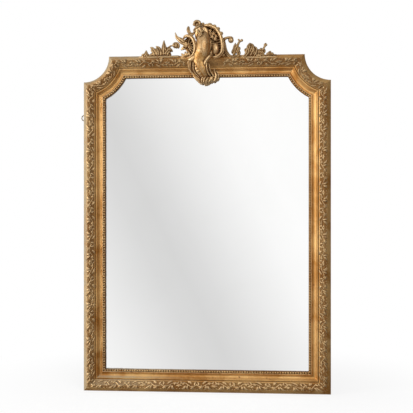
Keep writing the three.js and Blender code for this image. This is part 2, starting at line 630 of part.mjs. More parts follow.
/** What the crest is hollowed to sit on: the high lines of the top rail and its row of beads. */
function crestSeat() {
  const side = HALF_WIDTH - NOTCH_RADIUS;
  const span = { length: 2 * side, steps: 1, at: (t, d) => [lerp(-side, side, t), FRAME_HEIGHT - d] };
  const beadTop = BEAD_SEAT.height + BEAD_HEIGHT + JOINT_GAP;
  const highLines = [
    [0, CARCASS_DEPTH],
    ...OUTER_SLOPE,
    BAND_SLOPE.outer,
    BAND_SLOPE.inner,
    COVE_LIPS[0], COVE.from, COVE_LIPS[1], COVE_LIPS[2],
    [BEAD_SEAT.from - JOINT_GAP, beadTop],
    [MOULDING_WIDTH, beadTop],
    [MOULDING_WIDTH, CARCASS_DEPTH],
  ];
  const behind = block([-HALF_WIDTH, -CREST_BACK, 0], [HALF_WIDTH, CREST_BACK, 2 * FRAME_HEIGHT]);
  return join([sweep(span, () => grown(highLines, JOINT_GAP)), behind]);
}

/** The crest's pieces, each cut round the rail and round the pieces before it. */
function crestPieces() {
  let taken = crestSeat();
  return Object.entries(CREST).map(([name, carving]) => {
    const chips = join(carving(0)).subtract(taken).decompose();
    const piece = chips.reduce((big, chip) => (chip.volume() > big.volume() ? chip : big));
    taken = taken.add(join(carving(JOINT_GAP)));
    return [name, toGeometry(piece)];
  });
}

/** The upright board behind the cartouche, which stands on the carcass and carries the crest. */
function crestBatten() {
  const bottom = FRAME_HEIGHT - CARCASS_SETBACK + JOINT_GAP;
  const middle = -9;
  const shape = new THREE.Shape();
  shape.moveTo(middle - 60, bottom);
  shape.lineTo(middle + 70, bottom);
  shape.lineTo(middle + 70, bottom + 24);
  shape.quadraticCurveTo(middle + 40, bottom + 34, middle + 34, bottom + 70);
  shape.lineTo(middle + 28, bottom + 104);
  shape.lineTo(middle - 24, bottom + 104);
  shape.lineTo(middle - 26, bottom + 70);
  shape.quadraticCurveTo(middle - 30, bottom + 34, middle - 60, bottom + 24);
  shape.closePath();
  return plate(shape, 2, CREST_BACK - JOINT_GAP, 5);
}

// ---------------------------------------------------------------- the mirror

const mirror = new THREE.Group();

function add(name, geometry, material, [x, y, z] = [0, 0, 0]) {
  const mesh = new THREE.Mesh(geometry, material);
  mesh.name = name;
  mesh.position.set(x, y, z);
  mirror.add(mesh);
  return mesh;
}

Object.entries(RUNS).forEach(([place, run]) => {
  add(`carcass_${place}`, sweep(run, () => CARCASS_SECTION), PINE);
  add(`moulding_${place}`, sweep(run, () => MOULDING_SECTION), GILT);
  add(`beads_${place}`, beadStrip(run, run.steps > 1 ? 2 : BEADS_PER_FOOT), GILT_RELIEF);
  if (place !== 'rail_top') add(`relief_${place}`, band(run), GILT_RELIEF);
});

const bandReach = HALF_WIDTH - mitreReach((BAND_SLOPE.outer[0] + BAND_SLOPE.inner[0]) / 2);
const fractionAt = (x) => (x / bandReach + 1) / 2;
add('relief_rail_top_left', band(topRail, 0, fractionAt(BAND_BREAK.left)), GILT_RELIEF);
add('relief_rail_top_right', band(topRail, fractionAt(BAND_BREAK.right), 1), GILT_RELIEF);

add('mirror_plate', mirrorPlate(), SILVERED_GLASS);
backboards().forEach((board, i) => add(`backboard_${i + 1}`, board, PINE));
glazingBlocks().forEach((geometry, i) => add(`glazing_block_${i + 1}`, geometry, PINE));

crestPieces().forEach(([name, geometry]) => add(name, geometry, GILT));
add('crest_batten', crestBatten(), PINE);

const hangerPlace = (x) => [x, 0, HANGER_HEIGHT];
add('hanger_plate_left', hangerPlate(), IRON, hangerPlace(-EYE_X));
const rightPlate = add('hanger_plate_right', hangerPlate(), IRON, hangerPlace(EYE_X));
rightPlate.rotation.y = Math.PI;
add('hanging_ring_left', hangingRing(), IRON, [-EYE_X - RING_LINE, EYE_Y, HANGER_HEIGHT]);
add('hanging_ring_right', hangingRing(), IRON, [EYE_X - RING_LINE, EYE_Y, HANGER_HEIGHT]);

export default mirror;
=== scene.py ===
"""Trumeau mirror: a gilded moulding with concave upper corners, a relief band, a row of beads, a silvered
glass and a carved rocaille crest. Lengths inside the file are millimetres and become metres in write_mesh.
X runs to the right, Z up and the front faces -Y; f (forward) is the height over the carcass's back plane,
so y = -f, and d is a distance inwards from the frame's outer edge."""

import json
import math

import bpy
import numpy as np
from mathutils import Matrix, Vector

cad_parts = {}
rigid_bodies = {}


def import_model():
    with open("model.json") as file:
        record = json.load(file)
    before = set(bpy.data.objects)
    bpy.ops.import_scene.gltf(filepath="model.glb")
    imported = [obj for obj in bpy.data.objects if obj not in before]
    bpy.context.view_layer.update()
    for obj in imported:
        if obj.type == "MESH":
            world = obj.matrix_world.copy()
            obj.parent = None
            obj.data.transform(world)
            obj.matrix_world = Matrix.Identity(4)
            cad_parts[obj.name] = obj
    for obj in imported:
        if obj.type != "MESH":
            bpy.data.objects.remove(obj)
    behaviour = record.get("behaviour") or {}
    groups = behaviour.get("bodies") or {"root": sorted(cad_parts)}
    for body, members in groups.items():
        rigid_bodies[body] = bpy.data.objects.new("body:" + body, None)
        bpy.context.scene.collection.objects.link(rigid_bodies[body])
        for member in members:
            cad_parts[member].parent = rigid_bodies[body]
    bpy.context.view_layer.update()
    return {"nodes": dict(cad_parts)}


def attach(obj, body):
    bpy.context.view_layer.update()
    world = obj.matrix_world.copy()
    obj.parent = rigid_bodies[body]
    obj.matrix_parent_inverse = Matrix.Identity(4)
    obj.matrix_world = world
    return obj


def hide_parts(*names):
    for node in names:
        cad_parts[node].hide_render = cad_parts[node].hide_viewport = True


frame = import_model()

bl_info = {
    "name": "Trumeau Mirror",
    "version": (1, 0, 0),
    "blender": (4, 5, 0),
    "location": "View3D > Sidebar > Mirror",
    "description": "Dresses the packed frame of a gilded overmantel mirror",
    "category": "Add Mesh",
}

# ---------------------------------------------------------------- the frame's own sizes

HALF_WIDTH = 530.0
FRAME_HEIGHT = 1441.0
NOTCH_RADIUS = 110.0
CARCASS_DEPTH = 20.0
SEAT = (85.0, 92.4, 30.0)  # the beads' step: d from, d to, f
# the moulding's section from the outer edge inwards, as (d, f)
OUTER_SLOPE = [(0, 35), (2.5, 38.5), (8, 46), (14, 52), (20, 56.4), (24.5, 58.3), (28, 58.5)]
QUIRK = [(50.5, 42), (51.4, 39.5), (53.6, 39.5), (54.2, 41.3)]
COVE_EDGES, COVE_DEPTH = ((58, 41.2), (82.4, 36.2)), 8.6
LIP = [(83, 36.6), (84, 36.1), (84.5, 35.4), (84.5, 30), (92.4, 30), (93, 29.4), (93, 20)]
# strips of the section darkened by painted shade, at the quirk, the fillet and the relief's bed: middle d, half
# width, how hollow, and the fall beside it
SHADED_STRIPS = [(52.4, 0.0, 1.0, 2.6), (55.5, 3.0, 0.45, 1.0), (33.5, 14.0, 0.9, 2.0)]
# the relief's bed over the moulding's ridge, also as (d, f)
RELIEF_BED = [(15, 52.7), (17, 54.2), (20, 56.3), (24.5, 58.2), (28, 58.3), (50.2, 42.1)]
RELIEF_GAP = (-87, 74)  # where the crest interrupts the top rail's relief, in x
BEAD_RADIUS = 4.05
BACKBOARDS, BACKBOARD_EDGE, BACKBOARD_GAP = 6, 70, 1  # their number, d of their outline, and joints
BACKBOARD_PITCH = (FRAME_HEIGHT - 2 * BACKBOARD_EDGE + BACKBOARD_GAP) / BACKBOARDS
EYE_X, EYE_Y, HANGER_HEIGHT = 525.25, 5.65, 1181.0
NAIL_HEAD, SCREW_HEAD = (3.6, 1.2), (3.6, 0.35)  # radius and height
NAIL_LINE, NAIL_DEPTH = 88, -0.5  # d and y of the backboards' nails
CORNER_REACH = 190  # no side nail is nearer to the top, because of the concave corners
NAIL_SHARES, TOP_NAILS = (0.2, 0.78), (-320, -110, 120, 325)  # shares of a board's height, and x
PLATE_HOLES = [(20, 0), (38, -7), (38, 7)]  # inwards from the eye, and up
BATTEN_SCREWS = [(-52, 10), (44, 10), (-22, 60), (8, 60)]  # x, and z over the frame's top edge
RING_LINE, RING_WIRE = 11.75, 2.25  # radius of the ring's middle line, and of its wire
WOOD_EDGE, BOARD_EDGE, IRON_EDGE = 0.8, 1.4, 0.35  # how far edges are softened


def mitre_reach(d):
    """Distance from a notch's centre to the mitre at d: the root of R squared plus 2 R d."""
    return np.sqrt(NOTCH_RADIUS**2 + 2 * NOTCH_RADIUS * d)


def left_stile(t, d):
    """A straight line at x = d - half the width, from the lower mitre at z = d to the notch's mitre."""
    return d - HALF_WIDTH + 0 * t, d + (FRAME_HEIGHT - mitre_reach(d) - d) * t


def left_corner(t, d):
    """An arc of radius R + d round the notch's centre, between the mitres at arcsin(d / radius)."""
    radius = NOTCH_RADIUS + d
    mitre = np.arcsin(d / radius)
    angle = (mitre - math.pi / 2) * (1 - t) - mitre * t
    return radius * np.cos(angle) - HALF_WIDTH, FRAME_HEIGHT + radius * np.sin(angle)


def top_rail(t, d):
    """A straight line at z = height - d, between the two notches' mitres."""
    return (2 * t - 1) * (HALF_WIDTH - mitre_reach(d)), FRAME_HEIGHT - d + 0 * t


def bottom_rail(t, d):
    """A straight line at z = d, between the two lower mitres at 45 degrees."""
    return (2 * t - 1) * (HALF_WIDTH - d), d + 0 * t


def turned_over(run):
    """A run mirrored left to right: x = -x."""

    def right(t, d):
        x, z = run(t, d)
        return -x, z

    return right


# each length of moulding: its run, and its length in mm
RUNS = {
    "stile_left": (left_stile, 1331.0),
    "corner_left": (left_corner, 216.0),
    "rail_top": (top_rail, 840.0),
    "corner_right": (turned_over(left_corner), 216.0),
    "stile_right": (turned_over(left_stile), 1331.0),
    "rail_bottom": (bottom_rail, 1060.0),
}

# ---------------------------------------------------------------- meshes


def shell(points, quads, **values):
    """A closed surface: points in mm, four-sided faces turned outwards, and a number for each point."""
    points = np.asarray(points, float).reshape(-1, 3)
    quads = np.asarray(quads, int)
    a, b, c, e = (points[quads[:, i]] for i in range(4))
    volume = np.einsum("ij,ij->", a, np.cross(b, c) + np.cross(c, e))
    if volume < 0:
        quads = quads[:, ::-1]
    return {"points": points, "quads": quads, "values": {key: np.ravel(value) for key, value in values.items()}}


def tube_quads(rows, columns, closed_along=False):
    """Faces of a grid whose columns go round; its ends are closed by a ladder of faces across the loop."""
    row, column = np.meshgrid(np.arange(rows if closed_along else rows - 1), np.arange(columns), indexing="ij")
    here, after, beside = row * columns, (row + 1) % rows * columns, (column + 1) % columns
    skin = np.stack([here + column, here + beside, after + beside, after + column], -1).reshape(-1, 4)
    if closed_along:
        return skin
    step = np.arange(columns // 2 - 1)
    cap = np.stack([step, step + 1, columns - 2 - step, columns - 1 - step], 1)
    return np.concatenate([skin, cap[:, ::-1], cap + (rows - 1) * columns])


def sheet_shell(top, under, **values):
    """A closed slab from two grids of points, joined round their edge. Values are those of the top grid."""
    rows, columns = top.shape[:2]
    index = np.arange(rows * columns).reshape(rows, columns)
    lower = index + rows * columns
    face = np.stack([index[:-1, :-1], index[:-1, 1:], index[1:, 1:], index[1:, :-1]], -1).reshape(-1, 4)
    back = (face + rows * columns)[:, ::-1]
    rim = np.concatenate([index[0, :], index[1:, -1], index[-1, -2::-1], index[-2:0:-1, 0]])
    low = np.concatenate([lower[0, :], lower[1:, -1], lower[-1, -2::-1], lower[-2:0:-1, 0]])
    wall = np.stack([rim, low, np.roll(low, -1), np.roll(rim, -1)], 1)
    both = {key: np.concatenate([value, value]) for key, value in values.items()}
    points = np.concatenate([top.reshape(-1, 3), under.reshape(-1, 3)])
    return shell(points, np.concatenate([face, back, wall]), **both)


def write_mesh(name, shells, sharp=None):
    """One object at the origin from closed shells, its points in metres."""
    points = np.concatenate([s["points"] for s in shells]) * 0.001
    starts = np.cumsum([0] + [len(s["points"]) for s in shells[:-1]])
    quads = np.concatenate([s["quads"] + start for s, start in zip(shells, starts)])
    mesh = bpy.data.meshes.new(name)
    mesh.vertices.add(len(points))
    mesh.vertices.foreach_set("co", points.reshape(-1))
    mesh.loops.add(quads.size)
    mesh.loops.foreach_set("vertex_index", quads.reshape(-1))
    mesh.polygons.add(len(quads))
    mesh.polygons.foreach_set("loop_start", np.arange(0, quads.size, 4))
    mesh.polygons.foreach_set("use_smooth", np.ones(len(quads), bool))
    mesh.update(calc_edges=True)
    mesh.validate()
    for key in {k for s in shells for k in s["values"]}:
        column = np.concatenate([s["values"].get(key, np.zeros(len(s["points"]))) for s in shells])
        mesh.attributes.new(key, "FLOAT", "POINT").data.foreach_set("value", column.astype(np.float32))
    if sharp is not None:
        mesh.set_sharp_from_angle(angle=math.radians(sharp))
    made = bpy.data.objects.new(name, mesh)
    bpy.context.scene.collection.objects.link(made)
    return made


def finish_piece(made, material, body="frame", stands_for=()):
    """Gives a new piece its material, its body and the CAD nodes that it stands for."""
    made.data.materials.clear()
    made.data.materials.append(material)
    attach(made, body)
    if stands_for:
        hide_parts(*stands_for)
    return made


def catmull(points, count):
    """A smooth line through rows of numbers: a cubic through each four neighbours, spaced by distance."""
    points = np.asarray(points, float)
    padded = np.concatenate([[2 * points[0] - points[1]], points, [2 * points[-1] - points[-2]]])
    reach = np.concatenate([[0], np.cumsum(np.linalg.norm(np.diff(points[:, :3], axis=0), axis=1))])
    at = np.interp(np.linspace(0, reach[-1], count), reach, np.arange(len(points)))
    i = np.minimum(at.astype(int), len(points) - 2)
    u = (at - i)[:, None]
    p0, p1, p2, p3 = (padded[i + k] for k in range(4))
    square, cube = 2 * p0 - 5 * p1 + 4 * p2 - p3, 3 * p1 - p0 - 3 * p2 + p3
    return 0.5 * (2 * p1 + (p2 - p0) * u + square * u**2 + cube * u**3)


def softened(corners, step, sigma):
    """A polyline resampled at even steps in mm and rounded by a bell curve of sigma samples."""
    line = np.asarray(corners, float)
    reach = np.concatenate([[0], np.cumsum(np.linalg.norm(np.diff(line, axis=0), axis=1))])
    fine = np.arange(0, reach[-1], step)
    dense = np.stack([np.interp(fine, reach, line[:, i]) for i in (0, 1)], 1)
    return dense, gaussian(dense, sigma), reach[-1]


def gaussian(values, sigma, axis=0):
    """Values blurred along one axis by a bell curve of the given width in samples, ends held."""
    reach = max(1, int(3 * sigma))
    kernel = np.exp(-0.5 * (np.arange(-reach, reach + 1) / sigma) ** 2)
    kernel /= kernel.sum()
    widths = [(0, 0)] * values.ndim
    widths[axis] = (reach, reach)
    padded = np.pad(values, widths, mode="edge")
    length = values.shape[axis]
    return sum(k * np.take(padded, np.arange(i, i + length), axis=axis) for i, k in enumerate(kernel))


# ---------------------------------------------------------------- moulding


def moulding_line():
    """The moulding's front line: its corners joined, softened by a bell curve of 0.45 mm, and sampled
    more closely where it turns. Returns [d, f] points and how hollow (+) or proud (-) each one lies; the lip's
    inner wall, the beads' seat and the shaded strips are made hollow there as painted shade."""
    (d0, f0), (d1, f1) = COVE_EDGES
    s = np.linspace(0, 1, 24)
    cove = np.stack([d0 + (d1 - d0) * s, f0 + (f1 - f0) * s - COVE_DEPTH * np.sin(np.pi * s)], 1)
    slope = catmull(np.column_stack([OUTER_SLOPE, np.zeros(len(OUTER_SLOPE))]), 40)[:, :2]
    corners = np.concatenate([[(0, CARCASS_DEPTH)], slope, QUIRK, cove, LIP])
    sharp, line, _ = softened(corners, 0.2, 0.45 / 0.2)
    line[[0, -1]] = sharp[[0, -1]]
    way = np.gradient(line, axis=0)
    turn = np.gradient(np.unwrap(np.arctan2(way[:, 1], way[:, 0])))
    pace = np.cumsum(0.2 / 2.6 + np.abs(turn) / math.radians(14))
    at = np.interp(np.linspace(pace[0], pace[-1], 96), pace, np.arange(len(pace)))
    d = line[:, 0]
    hollow = np.clip(gaussian(turn, 5) / math.radians(4), -1, 1)
    # painted shade: the lip's inner wall and the beads' seat count as fully hollow, so that they darken like a
    # shaded rebate
    hollow = np.maximum(hollow, np.clip((d - 83.8) / 0.6, -1, 1))
    # painted shade in the shaded strips: the quirk, the fillet beside it and the relief's bed darken
    for middle, half, level, fall in SHADED_STRIPS:
        hollow = np.maximum(hollow, level - np.maximum(np.abs(d - middle) - half, 0) / fall)
    d, f, hollow = (np.interp(at, np.arange(len(pace)), v) for v in (d, line[:, 1], hollow))
    return np.stack([d, f], 1), hollow


def wander(s, seed, lengths, amount):
    """A slow random line: sines of the given lengths with seeded phases, added up."""
    draw = np.random.default_rng(seed)
    waves = [np.sin(2 * np.pi * s / length + draw.uniform(0, 6.28)) for length in lengths]
    return amount * sum(waves) / len(lengths)


def swept(run, length, line, back, spacing, seed=0, uneven=0.0):
    """A section carried along a run as a tube: its front line, then its back line the other way."""
    steps = max(2, int(round(length / spacing)))
    trim = 0.15 / length
    t = np.linspace(trim, 1 - trim, steps + 1)[:, None]
    loop = np.concatenate([line, back[::-1]])
    front = np.concatenate([np.ones(len(line)), np.zeros(len(back))])
    d, f = loop[:, 0][None, :], loop[:, 1][None, :] + 0 * t
    f = f + front * wander(t * length + d * 0.6, seed, (410, 163, 71), uneven)
    x, z = run(t, d)
    return np.stack([x, -f, z], -1)


class MIRROR_OT_moulding(bpy.types.Operator):
    """Sweeps the six lengths of moulding along the stiles, rails and concave corners"""

    bl_idname = "mirror.moulding"
    bl_label = "Moulding"

    def execute(self, context):
        sizes = context.scene.mirror_sizes
        line, hollow = moulding_line()
        back = np.stack([line[:, 0], np.full(len(line), CARCASS_DEPTH)], 1)
        hollows_and_shade = np.concatenate([hollow, np.ones(len(back))])
        # the outer slope, where the gilding paints window light on the faces turned to the left
        outside = np.concatenate([np.clip((26 - line[:, 0]) / 3, 0, 1), np.zeros(len(back))])
        for seed, (place, (run, length)) in enumerate(RUNS.items()):
            spacing = 4 if "corner" in place else 9
            grid = swept(run, length, line, back, spacing, seed, sizes.unevenness * 1000)
            rows, columns = grid.shape[:2]
            quads = tube_quads(rows, columns)
            body = shell(grid, quads, hollow=np.tile(hollows_and_shade, rows), outside=np.tile(outside, rows))
            made = write_mesh(f"gilt_moulding_{place}", [body], 50)
            finish_piece(made, gilding(context, "Gilded moulding"), stands_for=[f"moulding_{place}"])
        return {"FINISHED"}


# ---------------------------------------------------------------- relief band


def bed_line(count):
    """The relief's bed over the ridge, up to the quirk: [d, f] points, their normals, and its width."""
    _, line, width = softened(RELIEF_BED, 0.25, 5)
    at = np.linspace(0, len(line) - 1, count)
    points = np.stack([np.interp(at, np.arange(len(line)), line[:, i]) for i in (0, 1)], 1)
    way = np.gradient(points, axis=0)
    way /= np.linalg.norm(way, axis=1)[:, None]
    return points, np.stack([-way[:, 1], way[:, 0]], 1), width


def leaf_height(s, w, start, end, half, rise, bend=0.0, lobes=0):
    """A leaf from start to end on the bed: half as wide as half at its middle, domed across, with a groove
    along its bent midrib, slanting veins and lobed edges."""
    start, end = np.asarray(start, float), np.asarray(end, float)
    length = np.linalg.norm(end - start)
    way = (end - start) / length
    a = ((s - start[0]) * way[0] + (w - start[1]) * way[1]) / length
    b = -(s - start[0]) * way[1] + (w - start[1]) * way[0] - bend * length * 4 * a * (1 - a)
    inside = (a > 0) & (a < 1)
    a = np.clip(a, 0, 1)
    width = half * (np.sin(np.pi * a**0.75) + 0.12) * (1 - a) ** 0.12
    if lobes:
        width = width * (0.78 + 0.3 * np.abs(np.sin(lobes * np.pi * a)))
    across = np.abs(b) / np.maximum(width, 0.2)
    dome = np.sqrt(np.clip(1 - across**2, 0, 1))
    groove = 0.34 * np.exp(-((b / 0.9) ** 2)) * np.sin(np.pi * a)
    veins = 0.1 * np.cos(2 * np.pi * (a * length / 3.2 - np.abs(b) / 3.4))
    blade = dome * (1 - groove + veins * np.minimum(across * 2, 1)) * (0.55 + 0.45 * np.sin(np.pi * a))
    return np.where(inside, rise * blade, 0)


def flower_height(s, w, centre, radius, rise, petals=5, turn=0.0):
    """A rosette: petals that dome between dark slits, round a button."""
    x, y = s - centre[0], w - centre[1]
    r, angle = np.hypot(x, y), np.arctan2(y, x) + turn
    lobe = np.abs(np.cos(petals * angle / 2))
    edge = radius * (0.72 + 0.28 * lobe)
    petal = np.sqrt(np.clip(1 - (r / edge) ** 2, 0, 1)) * (0.55 + 0.45 * lobe**0.6)
    button = 1.05 * np.sqrt(np.clip(1 - (r / (0.3 * radius)) ** 2, 0, 1))
    ring = 0.25 * np.exp(-(((r - 0.36 * radius) / (0.08 * radius)) ** 2))
    return rise * np.maximum(petal - ring, button)


def stem_height(s, w, points, half, rise):
    """A vine of round section along a polyline: its height falls off with distance like a half circle."""
    best = np.full(np.broadcast_shapes(s.shape, w.shape), 1e9)
    for (s0, w0), (s1, w1) in zip(points[:-1], points[1:]):
        ds, dw = s1 - s0, w1 - w0
        along = np.clip(((s - s0) * ds + (w - w0) * dw) / (ds * ds + dw * dw), 0, 1)
        best = np.minimum(best, np.hypot(s - s0 - along * ds, w - w0 - along * dw))
    return rise * np.sqrt(np.clip(1 - (best / half) ** 2, 0, 1))


# the motif's leaves: s and share of the bed's width at the foot and at the tip, half width, rise, bend, lobes
MOTIF_LEAVES = [
    (-14, 0.66, 8, 0.93, 4.6, 4.2, 0.12, 3),
    (-30, 0.50, -38, 0.92, 4.2, 4.0, -0.16, 3),
    (2, 0.52, -6, 0.03, 4.8, 4.6, 0.14, 3),
    (8, 0.46, 27, 0.08, 5.2, 4.8, -0.15, 4),
    (26, 0.46, 40, 0.30, 3.6, 3.8, 0.2, 2),
    (30, 0.62, 38, 0.97, 3.4, 3.4, 0.1, 2),
]
MOTIF_BERRIES = [(-34, 0.12), (-2, 0.78), (12, 0.30), (33, 0.16)]  # s and share of the width
MOTIF_FLOWER = 5.6  # rise of the tallest flower


def relief_motif(s, w, width, draw):
    """One repeat of the band: a waving vine with two rosettes, lobed leaves and berries, each shifted a
    little by the seeded draw. s runs over one motif and w across the bed."""

    def spot(place, share, scale=1.0):
        return np.array([place, width * share]) + draw.normal(0, scale, 2)

    wave = [(x, width * (0.55 + 0.2 * math.sin(2 * math.pi * x / 78))) for x in np.linspace(-42, 42, 22)]
    height = stem_height(s, w, wave, 2.0, 3.0)
    centre, radius = spot(-20, 0.30), 9.2 + draw.normal(0, 0.4)
    height = np.maximum(height, flower_height(s, w, centre, radius, MOTIF_FLOWER, 5, draw.uniform(0, 1)))
    height = np.maximum(height, flower_height(s, w, spot(19, 0.70), 7.0, 4.6, 6, draw.uniform(0, 1)))
    for foot, foot_share, tip, tip_share, *leaf in MOTIF_LEAVES:
        start, end = spot(foot, foot_share, 0.6), spot(tip, tip_share)
        height = np.maximum(height, leaf_height(s, w, start, end, *leaf))
    for place, share in MOTIF_BERRIES:
        height = np.maximum(height, flower_height(s, w, spot(place, share, 0.8), 2.6, 3.4, 2))
    return height


def relief_height(run_length, s, width, seed, motif):
    """The band's height over its bed, motif by motif along the run; every other one is turned over."""
    draw = np.random.default_rng(seed)
    count = max(1, int(round(run_length / motif)))
    pitch = run_length / count
    w = np.linspace(0, width, 40)[None, :]
    height = np.zeros((len(s), w.shape[1]))
    for i in range(count):
        centre = (i + 0.5) * pitch
        near = np.abs(s - centre) < 48 * pitch / motif
        local = ((s[near] - centre) * motif / pitch)[:, None]
        side = -1 if i % 2 else 1
        height[near] = np.maximum(height[near], relief_motif(side * local, w, width, draw))
    return height


class MIRROR_OT_relief(bpy.types.Operator):
    """Raises the band of flowers and leaves over the moulding's ridge"""

    bl_idname = "mirror.relief"
    bl_label = "Relief band"

    def execute(self, context):
        sizes = context.scene.mirror_sizes
        points, normals, width = bed_line(40)
        middle = points[22, 0]
        spans = {place: (place, 0.0, 1.0) for place in RUNS if place != "rail_top"}
        reach = HALF_WIDTH - mitre_reach(middle)
        left, right = ((x / reach + 1) / 2 for x in RELIEF_GAP)
        spans["rail_top_left"] = ("rail_top", 0.0, left)
        spans["rail_top_right"] = ("rail_top", right, 1.0)
        for seed, (name, (place, start, end)) in enumerate(spans.items()):
            run, full = RUNS[place]
            length = (full - 30) * (end - start)
            s = np.linspace(0, length, int(length / 1.15))
            t = (start + (end - start) * s / length)[:, None]
            height = relief_height(length, s, width, 40 + seed, sizes.motif_length * 1000)
            height *= sizes.relief_height * 1000 / MOTIF_FLOWER
            height *= np.clip(np.minimum(s, length - s) / 2.5, 0, 1)[:, None]
            proud = height - gaussian(gaussian(height, 3, 0), 3, 1)
            # dirt and painted shade: the ground between the carving and its low parts count as hollow and
            # darken
            hollow = np.clip(-proud / 1.2 + 0.6 * (1 - np.clip(height / 2.2, 0, 1)), -1, 1)
            grids = []
            for above in (height - 0.35, np.full(height.shape, -1.2)):  # the carved face, and the one below
                x, z = run(t, points[:, 0] + normals[:, 0] * above)
                grids.append(np.stack([x, -(points[:, 1] + normals[:, 1] * above), z], -1))
            made = write_mesh(f"carved_relief_{name}", [sheet_shell(*grids, hollow=hollow.reshape(-1))])
            # painted shade: the relief of the right stile, the right corner and the top rail takes the darker
            # Shaded relief finish
            bright = name in ("stile_left", "rail_bottom", "corner_left")
            finish = "Gilded relief" if bright else "Sooty relief"
            finish_piece(made, gilding(context, finish), stands_for=[f"relief_{name}"])
        return {"FINISHED"}


# ---------------------------------------------------------------- beads


class MIRROR_OT_beads(bpy.types.Operator):
    """Strings the row of beads along the sight edge"""

    bl_idname = "mirror.beads"
    bl_label = "Beads"

    def execute(self, context):
        sizes = context.scene.mirror_sizes
        middle = (SEAT[0] + SEAT[1]) / 2
        latitudes = [-0.55, -0.15, 0.3, 0.68, 0.93]  # as sines
        around, up = np.meshgrid(np.arange(10) * 2 * np.pi / 10, latitudes, indexing="xy")
        ring = np.sqrt(1 - up**2)
        draw = np.random.default_rng(7)
        for place, (run, _) in RUNS.items():
            x0, z0 = run(np.array([0.0, 0.5, 1.0]), middle)
            span = np.sum(np.hypot(np.diff(x0), np.diff(z0))) * (1.01 if "corner" in place else 1)
            count = int(round(span / (sizes.bead_pitch * 1000)))
            shells = []
            for i in range(count):
                t = (i + 0.5) / count
                xa, za = run(t - 0.001, middle)
                xb, zb = run(t + 0.001, middle)
                way = np.array([xb - xa, zb - za]) / np.hypot(xb - xa, zb - za)
                size = BEAD_RADIUS + draw.normal(0, 0.08)
                along, across = 1.12 * size * ring * np.cos(around), size * ring * np.sin(around)
                x = (xa + xb) / 2 + way[0] * along - way[1] * across
                z = (za + zb) / 2 + way[1] * along + way[0] * across
                f = SEAT[2] + 2.6 + size * up
                grid = np.stack([x, -f, z], -1)
                # painted shade: each bead darkens towards its back, where it sits in the rebate's shade
                shells.append(shell(grid, tube_quads(*up.shape), hollow=np.clip(0.75 - 1.5 * up, -1, 1)))
            made = write_mesh(f"pearls_{place}", shells)
            finish_piece(made, gilding(context, "Gilded beads"), stands_for=[f"beads_{place}"])
        return {"FINISHED"}


# ---------------------------------------------------------------- crest

